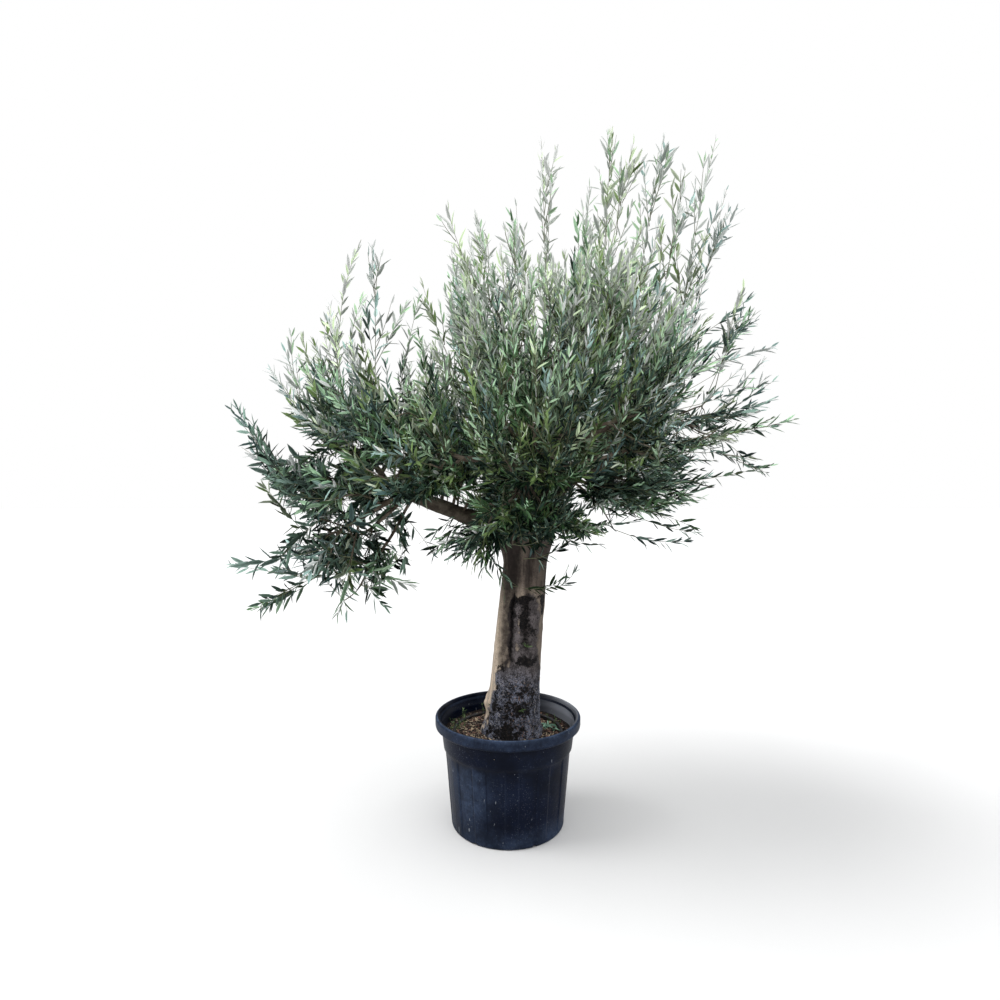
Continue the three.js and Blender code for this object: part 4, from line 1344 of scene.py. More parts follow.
def heading(rng, tips, outward, centres):
    """The way that the shoot at each tip points.

    It runs away from the fork, out of its own mass, and up with height, the more so in the middle and on the
    left mass. At the left the mass counts for more and chance turns the shoots further, at the right they
    sweep outwards, and the lowest sprays droop. A shoot that points too little out of its mass is turned.
    """
    x, z = tips[:, 0], tips[:, 2]
    left = ease(x, -0.2, -0.55)[:, None]
    off_centre = unit(tips - centres)
    away = unit((tips - fork_centre()) * (1, 1, 0.85)) * (1 - 0.45 * left)
    out = off_centre * (0.2 + 0.5 * left) + outward * (0.25 + 0.25 * left)
    lift = np.interp(z, [0.9, 1.15, 1.45, 1.8, 2.2, 2.8], [-0.45, -0.3, 0.12, 0.75, 1.25, 1.7])
    lift = lift * np.interp(x, [0.4, 0.9], [1, 0.5])
    lift = lift + 0.5 * bell(x, 0.1, 0.35) * ease(z, 1.2, 1.4) * ease(z, 2.0, 1.7)
    lift = lift + 0.8 * left[:, 0] * ease(z, 1.5, 1.75)
    wild = 0.22 + 0.26 * left * ease(z, 1.75, 1.45)[:, None]
    sweep = 0.7 * ease(x, 0.45, 0.8)[:, None] * np.array([1.0, 0.0, 0.05])
    ways = unit(away + out + sweep + lift[:, None] * UP + wild * rng.normal(0, 1, tips.shape))
    inward = 0.3 + 0.2 * left[:, 0] - np.einsum("ij,ij->i", ways, off_centre)
    return unit(ways + np.maximum(inward, 0)[:, None] * off_centre)


# Gaps in the crown, seen on the plane y = 0: x, z, half width, half height.
OPEN_GAPS = [
    (-0.37, 1.235, 0.04, 0.04), (-0.37, 1.10, 0.05, 0.11), (0.79, 1.72, 0.09, 0.025),
    (0.84, 1.83, 0.11, 0.025), (0.76, 1.61, 0.09, 0.02), (-0.62, 1.56, 0.035, 0.025),
    (-0.52, 1.45, 0.04, 0.03), (-0.72, 1.44, 0.03, 0.03), (-0.66, 1.33, 0.03, 0.035),
    (-0.43, 1.53, 0.03, 0.025), (0.47, 1.42, 0.03, 0.02),
]
# Fields with many small gaps, bell-shaped on the same plane: x, z, width, height.
OPEN_FIELDS = [(-0.5, 1.42, 0.3, 0.17), (0.55, 1.5, 0.2, 0.12), (-0.55, 1.12, 0.2, 0.1)]


def in_open_air(places):
    """True where a place lies in one of the gaps through which the sky shows.

    A gap is a cone from the eye before the tree through an ellipse on the plane y = 0. In the open fields
    small gaps lie where noise of 50 mm on that plane is high.
    """
    eye = np.array(bpy.context.scene.olive_stage.camera_place)
    seen = eye + (places - eye) * (eye[1] / (eye[1] - places[..., 1]))[..., None]
    found = np.zeros(places.shape[:-1], bool)
    for x, z, wide, tall in OPEN_GAPS:
        found |= ((seen[..., 0] - x) / wide) ** 2 + ((seen[..., 2] - z) / tall) ** 2 < 1
    field = sum(bell(seen[..., 0], x, wide) * bell(seen[..., 2], z, tall) for x, z, wide, tall in OPEN_FIELDS)
    return found | (noise(seen * (1, 0, 1), 0.05, 61) > 1.45 - field)


def leafiness(places):
    """The part of the shoots kept at each place.

    It is less at the right, on the shoulder over the middle, on the left mass's crest, at the lower left
    and under the middle.
    """
    x, z = places[:, 0], places[:, 2]
    right = 0.64 * ease(x, 0.55, 0.85) * ease(z, 1.5, 1.65)
    shoulder = 0.6 * bell(x, -0.1, 0.22) * ease(z, 2.1, 2.3)
    crest = 0.65 * bell(x, -0.6, 0.3) * ease(z, 1.68, 1.84)
    low_left = 0.5 * ease(z, 1.5, 1.3) * ease(x, -0.2, -0.5)
    below = 0.3 * ease(z, 1.4, 1.25) * bell(x, 0.1, 0.4)
    return 1 - np.max([right, shoulder, crest, low_left, below], axis=0)


def crown_shoots(rng, sizes):
    """Start, bend and tip of the shoots that fill the foliage masses.

    Most tips lie near the outside of the masses, some stand out on the crests, and the inner ones lie at
    random depths. A shoot starts flatter than it ends, and is no longer than its mass has room for. At the
    right the shoots are half as long again. A shoot that would cross an open gap is left out.
    """
    samples = exposed_samples(rng, SURFACE_SAMPLES)
    places, outward, centres = samples[:, 0], samples[:, 1], samples[:, 2]
    kept = thinned(rng, places, sizes.spacing)
    kept = kept[rng.uniform(size=len(kept)) < leafiness(places[kept])]
    places, outward, centres = places[kept], outward[kept], centres[kept]
    inner = rng.uniform(size=len(places)) < sizes.inner_share
    depth = np.where(inner, rng.uniform(0.25, 0.7, len(places)), 0)
    room = np.linalg.norm(places - centres, axis=1)
    places = places + (centres - places) * depth[:, None]
    ways = heading(rng, places, outward, centres)
    crest = np.clip(outward[:, 2], 0, 1) * (places[:, 2] > 1.6)
    fringe = 0.13 + 0.1 * bell(places[:, 0], -0.33, 0.13) + 0.1 * ease(places[:, 0], -0.75, -0.9)
    reach = rng.uniform(-0.1, 0.0, len(places)) + crest * fringe * rng.uniform(0, 1, len(places))
    tips = places + ways * np.where(inner, 0, reach)[:, None]
    right = ease(places[:, 0], 0.45, 0.75)
    long = rng.uniform(sizes.shoot_short, sizes.shoot_long, len(places)) * (1 + 0.5 * right)
    long = np.minimum(long, room * 1.25 + 0.05)
    flat = unit(ways - 0.35 * UP + 0.25 * rng.normal(0, 1, ways.shape))
    bends = tips - ways * (long * 0.55)[:, None]
    starts = bends - flat * (long * 0.45)[:, None]
    bends = held_in(bends, centres, room)
    starts = held_in(starts, centres, room * 0.75)
    clear = ~(in_open_air(tips) | in_open_air(bends) | in_open_air((tips + bends) / 2) | in_open_air(starts))
    return starts[clear], bends[clear], tips[clear]


def held_in(places, centres, reach):
    """Each place, drawn in along its line to the centre where it lies further from it than the reach."""
    away = places - centres
    return centres + away * np.minimum(1, reach / np.linalg.norm(away, axis=1))[:, None]


# Mean distance between two side shoots on a leader.
SIDE_SPACING = 0.075


def standing_shoots(rng):
    """Start, bend and tip of the leaders of the frame's shoots, and the same of their side shoots.

    A leader runs from inside the foliage to the frame shoot's tip. Side shoots leave it at 10 to 26 degrees.
    """
    ends = np.array([limb_ends(shoot) for shoot in SHOOTS])
    axis = ends[:, 1] - ends[:, 0]
    long = np.linalg.norm(axis, axis=1)
    ways = unit(axis)
    starts = ends[:, 0] - ways * 0.16
    tips = ends[:, 1] - ways * 0.01
    bends = (starts + tips) / 2 + 0.02 * rng.normal(0, 1, starts.shape)
    number = np.clip(np.round(long / SIDE_SPACING), 2, 8).astype(int)
    leader = np.repeat(np.arange(len(SHOOTS)), number)
    along = rng.uniform(0.1, 0.8, len(leader))
    feet, tangents = curves(starts[leader], bends[leader], tips[leader], along[:, None])
    feet, tangents = feet[:, 0], tangents[:, 0]
    sideways = unit(np.cross(tangents, rng.normal(0, 1, feet.shape)))
    lean = np.radians(rng.uniform(10, 26, len(leader)))[:, None]
    side_ways = tangents * np.cos(lean) + sideways * np.sin(lean)
    side_long = (1 - along) * long[leader] * rng.uniform(0.45, 0.8, len(leader)) + 0.06
    half = np.minimum(side_long, 0.26)[:, None] * 0.5
    side_bends = feet + side_ways * half
    return (starts, bends, tips), (feet, side_bends, side_bends + unit(side_ways + tangents) * half)


# Long sprays at the crown's edges: foot x, y and z, length, and the rise in degrees of each half, where 0
# is +X and 90 is up.
FRINGE = [
    (0.69, 0.05, 1.94, 0.38, 10, 35), (0.71, -0.10, 1.82, 0.36, 25, 15), (0.78, 0.12, 1.69, 0.42, 30, 45),
    (0.69, -0.18, 1.63, 0.36, 5, 30), (0.70, 0.02, 1.57, 0.43, 5, 25), (0.59, -0.22, 1.42, 0.41, 0, 15),
    (0.81, 0.16, 1.59, 0.33, 5, -55), (0.49, -0.20, 1.28, 0.25, -25, -5), (0.78, 0.10, 2.04, 0.31, 20, 45),
    (0.44, -0.12, 1.18, 0.28, -10, 10), (0.14, -0.20, 1.21, 0.22, -25, 5),
    (0.19, -0.25, 1.27, 0.31, -15, 15), (-0.88, -0.05, 1.35, 0.43, 125, 115),
    (-0.88, 0.10, 1.36, 0.30, 155, 120), (-0.80, -0.14, 1.36, 0.33, 145, 110),
    (-0.77, -0.10, 1.55, 0.25, 125, 105), (-0.71, 0.00, 1.73, 0.33, 135, 95),
    (-0.73, 0.14, 1.75, 0.29, 110, 115), (-0.69, 0.04, 1.79, 0.66, 100, 65),
    (-0.68, -0.10, 1.77, 0.34, 85, 105), (-0.70, -0.12, 1.15, 0.41, -165, -175),
    (-0.71, -0.05, 1.05, 0.38, -140, -170), (-0.63, -0.16, 1.11, 0.23, -85, -115),
    (-0.64, 0.05, 1.10, 0.27, -85, -35), (-0.59, -0.08, 1.11, 0.24, -45, -15),
    (-0.59, 0.08, 1.15, 0.20, -25, -20), (-0.21, -0.10, 1.31, 0.21, -125, -145),
    (-0.19, -0.02, 1.28, 0.22, -120, -135), (-0.13, -0.14, 1.26, 0.20, -105, -145),
    (-0.09, -0.20, 1.24, 0.18, -90, -125), (-0.63, -0.08, 1.94, 0.21, 85, 65),
    (-0.25, -0.12, 1.34, 0.22, 55, 35), (-0.17, -0.12, 1.31, 0.22, 30, 15),
    (-0.30, -0.14, 1.36, 0.22, 15, -10), (-0.12, -0.05, 1.31, 0.20, 85, 60),
    (-0.20, -0.02, 1.37, 0.22, 105, 80), (-0.33, -0.06, 1.38, 0.20, 45, 65),
    (-0.14, -0.16, 1.31, 0.24, 130, 150), (-0.10, -0.12, 1.34, 0.22, 110, 95),
    (-0.27, -0.10, 1.38, 0.22, 95, 70), (-0.36, -0.12, 1.42, 0.20, 60, 40),
    (-0.16, -0.05, 1.36, 0.20, 60, 80), (-0.05, -0.15, 1.33, 0.24, 125, 110),
    (-0.22, -0.10, 1.39, 0.24, 20, 45), (-0.06, -0.10, 1.40, 0.20, 165, 140),
    (-0.19, -0.14, 1.34, 0.20, 70, 35), (-0.12, -0.02, 1.36, 0.22, 120, 75),
    (0.20, -0.15, 1.33, 0.28, 35, 20), (0.25, -0.10, 1.38, 0.26, 15, 5), (0.30, -0.05, 1.35, 0.24, 40, 15),
    (-0.46, -0.10, 1.30, 0.24, -35, -60), (-0.43, -0.14, 1.26, 0.20, -70, -95),
    (-0.47, 0.05, 1.80, 0.39, 75, 75), (-0.52, 0.10, 1.89, 0.29, 80, 65),
    (-0.31, -0.16, 1.335, 0.25, 12, 25), (-0.10, -0.08, 1.365, 0.22, 165, 185),
]


def fringe_shoots():
    """Start, bend and tip of the long sprays that stand out from the crown's left, right and lower edges."""
    x, y, z, long, *rises = np.array(FRINGE).T
    starts = np.stack([x, y, z], axis=1)
    halves = [np.stack([np.cos(np.radians(rise)), 0 * rise, np.sin(np.radians(rise))], axis=1)
              * long[:, None] / 2 for rise in rises]
    bends = starts + halves[0]
    return starts, bends, bends + halves[1]


def hanging_shoots():
    """Start, bend and tip of the few sprays before the trunk, placed from the fork and the trunk's axis.

    Three hang at the fork's left, two leave the trunk and turn up at its right, and one hangs from the
    fork's middle.
    """
    heights, centres, radii = trunk_survey()
    face = centres[np.searchsorted(heights, 0.98)] + (0, -radii[-1], 0)
    sprays = [
        [(-0.150, -0.02, 0.20), (-0.130, -0.05, 0.07), (-0.020, -0.01, 0.0)],
        [(-0.105, -0.02, 0.12), (-0.085, -0.06, 0.05), (-0.075, -0.06, -0.03)],
        [(-0.120, 0.0, 0.16), (-0.150, -0.05, 0.12), (-0.170, -0.05, 0.04)],
        [(-0.050, -0.008, 0.004), (0.140, -0.05, -0.04), (0.185, 0.0, 0.085)],
        [(0.095, -0.03, -0.004), (0.165, -0.03, -0.01), (0.215, 0.0, 0.07)],
        [(0.030, 0.02, 0.23), (0.035, -0.05, 0.16), (0.070, -0.05, 0.09)],
    ]
    places = np.array(sprays) + face
    return places[:, 0], places[:, 1], places[:, 2]


# ---- Crown: how the branches grow --------------------------------------------------------------

def grow(rng, seeds, seed_parents, open_seeds, targets, sizes):
    """A tree of points that grows from the seeds to the targets.

    In each round every unmet target pulls the nearest point. A pulled point puts out a new one a step away,
    along the mean pull blended with its own direction and a little upwards. A target within reach of a
    point is met by it. Returns the points, the parent of each, its round, and the point that met each
    target, or -1.
    """
    points = seeds
    parents = seed_parents
    birth = np.zeros(len(seeds), int)
    ways = unit(points - points[np.maximum(parents, 0)])
    allowed = np.flatnonzero(open_seeds)
    gaps = np.linalg.norm(targets[:, None] - points[allowed][None], axis=2)
    nearest = allowed[gaps.argmin(1)]
    distance = gaps.min(1)
    met = np.where(distance < sizes.reach, nearest, -1)
    for growth in range(1, sizes.rounds + 1):
        waiting = np.flatnonzero(met < 0)
        if not len(waiting):
            break
        pulled, owner = np.unique(nearest[waiting], return_inverse=True)
        pull = np.zeros((len(pulled), 3))
        np.add.at(pull, owner, unit(targets[waiting] - points[nearest[waiting]]))
        bias = 0.45 * ways[pulled] + 0.06 * UP + rng.normal(0, 0.09, pull.shape)
        fresh_ways = unit(unit(pull) + bias)
        fresh = points[pulled] + sizes.step * fresh_ways
        gaps = np.linalg.norm(targets[waiting][:, None] - fresh[None], axis=2)
        closer = gaps.min(1) < distance[waiting]
        useful = np.isin(np.arange(len(fresh)), gaps.argmin(1)[closer])
        if not useful.any():
            break
        renumber = np.cumsum(useful) - 1 + len(points)
        nearest[waiting[closer]] = renumber[gaps.argmin(1)[closer]]
        distance[waiting[closer]] = gaps.min(1)[closer]
        points = np.concatenate([points, fresh[useful]])
        parents = np.concatenate([parents, pulled[useful]])
        ways = np.concatenate([ways, fresh_ways[useful]])
        birth = np.concatenate([birth, np.full(useful.sum(), growth)])
        arrived = waiting[distance[waiting] < sizes.reach]
        met[arrived] = nearest[arrived]
    return points, parents, birth, met


def borne(parents, birth, seed_count, met):
    """How many met targets each point bears: its own and all those further out."""
    load = np.bincount(met[met >= 0], minlength=len(parents)).astype(float)
    for growth in range(birth.max(), 0, -1):
        grown = np.flatnonzero(birth == growth)
        np.add.at(load, parents[grown], load[grown])
    for seed in range(seed_count - 1, 0, -1):
        if parents[seed] >= 0:
            load[parents[seed]] += load[seed]
    return load


def relaxed(points, parents, load, seed_count, rounds=4):
    """The grown points pulled towards the middle between their parent and their children."""
    points = points.copy()
    grown = np.arange(seed_count, len(points))
    weight = np.maximum(load, 0.01)
    for _ in range(rounds):
        outward = np.zeros_like(points)
        total = np.zeros(len(points))
        np.add.at(outward, parents[grown], points[grown] * weight[grown, None])
        np.add.at(total, parents[grown], weight[grown])
        inner = grown[total[grown] > 0]
        ahead = outward[inner] / total[inner, None]
        points[inner] = points[inner] / 2 + (points[parents[inner]] + ahead) / 4
    return points


def branch_chains(points, parents, load, seed_count, sizes):
    """Centres, radii and first rings of the tubes that make the branches.

    A branch runs on through its most laden child; every other child starts a branch of its own. A radius is
    the twig's radius times the shoots borne to the power 1 / taper.
    """
    radius = sizes.twig_radius * np.maximum(load, 1) ** (1 / sizes.taper)
    grown = [point for point in range(seed_count, len(points)) if load[point] > 0]
    heir = {}
    for point in sorted(grown, key=lambda number: load[number]):
        heir[parents[point]] = point
    centres = []
    radii = []
    starts = []
    for point in grown:
        parent = parents[point]
        if parent >= seed_count and heir[parent] == point:
            continue
        starts.append(len(centres))
        centres.append(points[parent])
        radii.append(radius[point] * 1.15)
        while point is not None:
            centres.append(points[point])
            radii.append(radius[point])
            point = heir.get(point)
    return np.array(centres), np.array(radii), starts


@lru_cache(maxsize=1)
def crown_plan():
    """The whole crown: branch tubes, and start, bend, tip and airiness (0 to 1) of every leafy shoot."""
    sizes = bpy.context.scene.olive_crown
    rng = np.random.default_rng(sizes.seed)
    starts, bends, tips = crown_shoots(rng, sizes)
    leaders, side_shoots = standing_shoots(rng)
    fringe = fringe_shoots()
    targets = np.concatenate([starts, leaders[0], fringe[0]])
    lines = [bough_line(bough)[0] for bough in BOUGHS]
    seeds = np.concatenate(lines)
    step = np.concatenate([np.arange(len(line)) for line in lines])
    seed_parents = np.where(step > 0, np.arange(len(seeds)) - 1, -1)
    open_seeds = step > 0.45 * len(lines[0])
    points, parents, birth, met = grow(rng, seeds, seed_parents, open_seeds, targets, sizes)
    load = borne(parents, birth, len(seeds), met)
    points = relaxed(points, parents, load, len(seeds))
    centres, radii, first_rings = branch_chains(points, parents, load, len(seeds), sizes)
    reached = met >= 0
    foot = points[np.maximum(met, 0)]
    joined_bends = np.concatenate([bends, leaders[1], fringe[1]])[reached]
    joined_tips = np.concatenate([tips, leaders[2], fringe[2]])[reached]
    hanging = hanging_shoots()
    kinds = [np.zeros(len(starts)), np.ones(len(leaders[0])), np.full(len(FRINGE), 0.3)]
    airy = [np.concatenate(kinds)[reached], np.ones(len(side_shoots[0])), np.full(len(hanging[0]), 0.6)]
    shoots = [np.concatenate(group) for group in zip(
        (foot[reached], joined_bends, joined_tips), side_shoots, hanging)]
    return (centres, radii, first_rings), (*shoots, np.concatenate(airy))


# ---- Leaves ---------------------------------------------------------------------------------

# A blade's points: how far along it, how far to its side, and 1 for the one on its underside. Points 6 and
# 7 lie on the midrib, and the others make the rim.
MIDRIB = 0.48
BLADE_FOLD = 0.34
BLADE_RUN = np.array([0, 0.3, 0.68, 1, 0.68, 0.3, MIDRIB, MIDRIB])
BLADE_SIDE = np.array([0, -0.46, -0.4, 0, 0.4, 0.46, 0, 0])
BLADE_UNDER = np.array([0, 0, 0, 0, 0, 0, 0, 1])
BLADE_RIM = np.array([0, 5, 4, 3, 2, 1])
BLADE_FACES = np.array(
    [[first, ahead, 6] for first, ahead in zip(BLADE_RIM, np.roll(BLADE_RIM, -1))]
    + [[ahead, first, 7] for first, ahead in zip(BLADE_RIM, np.roll(BLADE_RIM, -1))])
BLADE_CREASES = [*zip(BLADE_RIM, np.roll(BLADE_RIM, -1)), (0, 6), (6, 3)]


def leaf_blades(bases, along, facing, lengths, widths, curl, thickness):
    """Points and faces of leaf blades: a closed thin blade of twelve faces, folded along its midrib.

    A point lies at base + length * run * along + width * side * across + lift * facing. The lift follows
    curl * run^2, and the edges stand above the midrib by a share of their distance from it. The faces come
    with a mark on those of the underside.
    """
    across = np.cross(along, facing)
    run = BLADE_RUN[None] * lengths[:, None]
    side = BLADE_SIDE[None] * widths[:, None]
    lift = curl[:, None] * lengths[:, None] * BLADE_RUN ** 2
    lift = lift + BLADE_FOLD * np.abs(side) - thickness * BLADE_UNDER
    points = bases[:, None] + run[..., None] * along[:, None] + side[..., None] * across[:, None]
    points = points + lift[..., None] * facing[:, None]
    faces = BLADE_FACES[None] + len(BLADE_RUN) * np.arange(len(bases))[:, None, None]
    under = np.tile(np.arange(len(BLADE_FACES)) >= len(BLADE_RIM), len(bases))
    return points.reshape(-1, 3), [faces.reshape(-1, 3)], under


def blade_tones(tones):
    """The tone of every point of the blades: the leaf's own, darker on the midrib and paler at the sides,
    which paints a highlight on the blade's edges.
    """
    offset = 0.16 * (BLADE_SIDE != 0) - 0.1 * (BLADE_RUN == MIDRIB)
    return np.clip(tones[:, None] + offset, 0, 1)


def blade_creases(edges):
    """True for the edges along a blade's outline and midrib."""
    table = np.zeros((len(BLADE_RUN), len(BLADE_RUN)), bool)
    for first, second in BLADE_CREASES:
        table[first, second] = table[second, first] = True
    local = edges % len(BLADE_RUN)
    return table[local[:, 0], local[:, 1]]


# Part of a shoot, from its tip down, that bears leaves.
LEAFY = 0.86


def leaf_sizes(rng, places, share, airy, low, left):
    """Length of each leaf as a part of the full length.

    Leaves are shorter towards a shoot's tip and at its foot, and at the crown's front. They are longer low
    at the left and on the airy shoots of the top.
    """
    size = (0.55 + 0.45 * ease(share, 1.0, 0.75)) * rng.normal(1, 0.15, len(share))
    size = size * (0.85 + 0.15 * ease(share, 0.1, 0.4))
    size = np.clip(size, 0.4, 1.3) * (1 - 0.04 * low + 0.26 * low * left + 0.12 * airy * (1 - low))
    return size * (1 - 0.2 * ease(places[:, 1], -0.1, -0.55))


def leaf_tones(rng, places, share, shoot, shoots):
    """Tone of each leaf, from 0 for dark to 1 for pale.

    It is the leaf's own chance, its shoot's chance and its age, for the old leaves at a shoot's foot are
    dark. It falls low down, which paints the deeper shade of the lower crown, and at the right and in front.
    Tones lie further apart over 1.3 m, and closer together at the top.
    """
    x, y, z = places.T
    own = rng.uniform(0, 1, len(share)) ** 1.5
    tone = 0.62 * own + 0.22 * rng.uniform(0, 1, shoots)[shoot] + 0.3 * ease(share, 0.1, 1.0) - 0.07
    # Lower down the leaves are darker: painted shade in the crown.
    tone = tone - 0.09 * ease(z, 2.0, 1.7) - 0.05 * ease(z, 1.6, 1.3) + 0.035 * ease(z, 1.55, 1.8)
    tone = tone - 0.11 * ease(x, 0.4, 0.75) - 0.05 * ease(y, -0.1, -0.55)
    top = ease(z, 1.95, 2.35)
    contrast = 1 + 0.34 * ease(z, 1.3, 1.55) - 0.7 * top
    return np.clip(0.485 + (tone - 0.46) * contrast + 0.015 * top, 0, 1)


def leaf_piece(name, blades, tones, upper, under, replaces=()):
    """A piece of leaf blades in two finishes, with the tone of each leaf, and its painted edge highlight,
    stored on its points.
    """
    points, faces, below = leaf_blades(*blades)
    values = {"tone": blade_tones(tones)}
    piece(name, points, faces, [upper, under], "leaf", replaces, below, values, blade_creases)


def leaves_of_shoots(rng, starts, bends, tips, airy, sizes):
    """Leaves in crossed opposite pairs along the shoots.

    Pairs stand a pitch apart, further on an airy shoot and at the lower left, each turned a quarter round
    from the last. One leaf in eight has dropped, and more in patches of an airy shoot. A leaf leaves the
    shoot at the spread, which closes towards the tip. Its upper side faces up the shoot, turns to the sky on
    a level shoot, and outwards in the lower crown. Returns base, along, facing, length, tone and shoot
    number of every leaf.
    """
    long = np.linalg.norm(tips - bends, axis=1) + np.linalg.norm(bends - starts, axis=1)
    lowered = ease(tips[:, 2], 1.5, 1.3) * ease(tips[:, 0], -0.2, -0.5)
    pitch = sizes.pitch * (1 + sizes.airy_pitch * airy + 0.2 * lowered)
    pairs = np.maximum((long * LEAFY / pitch).astype(int), 3)
    owner = np.repeat(np.arange(len(starts)), pairs)
    order = np.arange(len(owner)) - np.repeat(np.cumsum(pairs) - pairs, pairs)
    rise = 1 - (order + 0.15 + rng.uniform(0, 0.5, len(owner))) / pairs[owner] * LEAFY
    places, tangents = curves(starts[owner], bends[owner], tips[owner], rise[:, None])
    places, tangents = np.repeat(places[:, 0], 2, axis=0), np.repeat(tangents[:, 0], 2, axis=0)
    turned = rng.uniform(0, 2 * math.pi, len(starts))[owner] + order * math.pi / 2
    shoot, share = np.repeat(owner, 2), np.repeat(rise, 2)
    loose = airy[shoot]
    angle = np.stack([turned, turned + math.pi], axis=1).ravel() + rng.normal(0, 0.3, len(shoot))
    side = unit(np.cross(tangents, np.array([0.31, 0.95, 0.05])))
    out = np.cos(angle)[:, None] * side + np.sin(angle)[:, None] * np.cross(tangents, side)
    low = ease(places[:, 2], 2.0, 1.5)
    left = ease(places[:, 0], -0.15, -0.4)
    spread = sizes.spread + (sizes.tip_spread - sizes.spread) * ease(share, 0.6, 1.0)
    spread = spread * (1 + 0.05 * loose) * (1 + 0.4 * low * left) * rng.uniform(0.45, 1.6, len(share))
    along = tangents * np.cos(spread)[:, None] + out * np.sin(spread)[:, None]
    droop = 0.16 * UP * (1 - share)[:, None]
    along = unit(along - droop + 0.16 * low[:, None] * rng.normal(0, 1, along.shape))
    level = 1 - np.abs(tangents[:, 2])
    away = unit((places - fork_centre()) * (1, 1, 0))
    facing = tangents + (0.9 * level)[:, None] * UP + (sizes.outward * low)[:, None] * away
    facing = squared(facing + (0.3 + 0.3 * low)[:, None] * rng.normal(0, 1, tangents.shape), along)
    size = leaf_sizes(rng, places, share, loose, low, left)
    bare = 0.12 + 0.5 * loose * ease(noise(places, 0.07, 62), -0.1, 0.6)
    kept = (rng.uniform(size=len(share)) > bare) & ~in_open_air(places + along * sizes.length / 2)
    tone = leaf_tones(rng, places, share, shoot, len(starts))
    found = places, along, facing, size * sizes.length, tone, shoot
    return tuple(group[kept] for group in found)


def deal_tints(rng, tips):
    """A tint for each shoot, as its number in TINTS.

    The chances are for deep green below, mid and olive green in the middle, sage and young green above,
    blue and frosted leaves at the sides, and a rare yellow near the middle. They are in the order of TINTS,
    and are shared out so that they add up to 1.
    """
    x, z = tips[:, 0], tips[:, 2]
    low = ease(z, 1.75, 1.15)
    high = ease(z, 1.6, 2.3)
    left = ease(x, -0.3, -0.8) + 0.5 * low * ease(x, -0.2, -0.5)
    side = np.minimum(np.maximum(left, ease(x, 0.4, 0.8)), 1)
    chance = np.stack([
        (0.16 + 0.55 * low) * (1 - high),
        (0.26 - 0.2 * high) * (1 - 0.3 * side),
        (0.24 - 0.04 * high - 0.12 * low) * (1 - 0.5 * side),
        (0.12 + 0.42 * high) * (1 - 0.6 * side) * (1 - 0.6 * low),
        (0.06 + 0.3 * side) * (1 - 0.8 * high),
        (0.02 + 0.2 * side + 0.06 * high) * (1 - 0.5 * low),
        (0.02 + 0.24 * high) * (1 - low) * (1 - 0.8 * side),
        0.004 * bell(x, 0.2, 0.3),
    ], axis=1)
    edges = np.cumsum(chance, axis=1) / chance.sum(1, keepdims=True)
    return (rng.uniform(size=len(tips))[:, None] > edges).sum(1)


# The tints, and how silvery the underside of each is; the low values, for the tints of the lower crown, paint
# shade on their undersides.
TINTS = {
    "deep": 0.24, "mid": 0.5, "olive": 0.66, "sage": 1.0,
    "blue": 0.4, "frost": 0.95, "young": 1.1, "yellow": 0.8,
}


def underside(colour, silver_and_shade, tint):
    """The underside's colour times the tint's silvering and painted shade, drawn towards the tint's own hue.
    """
    mean = sum(tint) / 3
    return tuple(min(1.0, level * silver_and_shade * (own / mean) ** 0.3) for level, own in zip(colour, tint))


# ---- Operators ------------------------------------------------------------------------------

# Litter on the soil: name, colour, part of the chips, least and greatest size, tilt, length over size.
LITTER = [
    ("bark_crumbs", "crumb", 0.5, 0.004, 0.012, 0.35, 1.2),
    ("dark_crumbs", "earth_dark", 0.28, 0.004, 0.011, 0.4, 1.1),
    ("red_crumbs", "crumb_red", 0.14, 0.005, 0.015, 0.3, 1.5),
    ("pale_grit", "grit", 0.08, 0.003, 0.006, 0.5, 1.1),
]
# Rings along a leafy shoot's stem, and the sides of a stem and of a branch.
STEM_RINGS = 6
STEM_SIDES = 3
BRANCH_SIDES = 6
# The way to each lamp, and its breadth in the sky in degrees.
KEY_LAMP = (-1.0, -0.05, 1.35), 34
OVERHEAD_LAMP = (0.15, -0.25, 1.0), 120


class OLIVE_OT_pot(bpy.types.Operator):
    """Builds the ribbed nursery pot"""
    bl_idname = "olive.pot"
    bl_label = "Pot"

    def execute(self, context):
        sizes = context.scene.olive_pot
        points, faces, values = pot_surface(sizes)
        piece("nursery_pot", points, faces, [pot_plastic(sizes)], "pot_plastic", ["pot"], values=values)
        return {"FINISHED"}


class OLIVE_OT_soil(bpy.types.Operator):
    """Builds the soil, the bark crumbs and straws on it, and the drip ring"""
    bl_idname = "olive.soil"
    bl_label = "Soil and drip ring"

    def execute(self, context):
        sizes = context.scene.olive_soil
        points, faces = soil_surface(context.scene.olive_pot)
        piece("potting_soil", points, faces, [soil_finish(sizes)], "soil", ["root_ball"])
        low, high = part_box("drip_ring")
        tube = (high.z - low.z) / 2
        ring = ring_surface(high.x - tube, tube + 0.001, low.z + tube + 0.003, 0.001)
        piece("drip_tube", *ring, [tube_finish(sizes)], "drip_tube", ["drip_ring"])
        rng = np.random.default_rng(sizes.seed)
        for name, tint, part, small, large, tilt, slender in LITTER:
            places = scattered(rng, int(sizes.chips * part), 0.07, 0.252)
            chips = crumbs(rng, places, small, large, tilt, slender)
            piece(name, *chips, [litter_finish(name, getattr(sizes, tint))], "soil")
        places = scattered(rng, sizes.straws, 0.08, 0.25)
        straws = crumbs(rng, places, 0.0024, 0.0058, 0.16, 9.5)
        piece("dry_straws", *straws, [litter_finish("dry_straws", sizes.straw)], "soil")
        return {"FINISHED"}


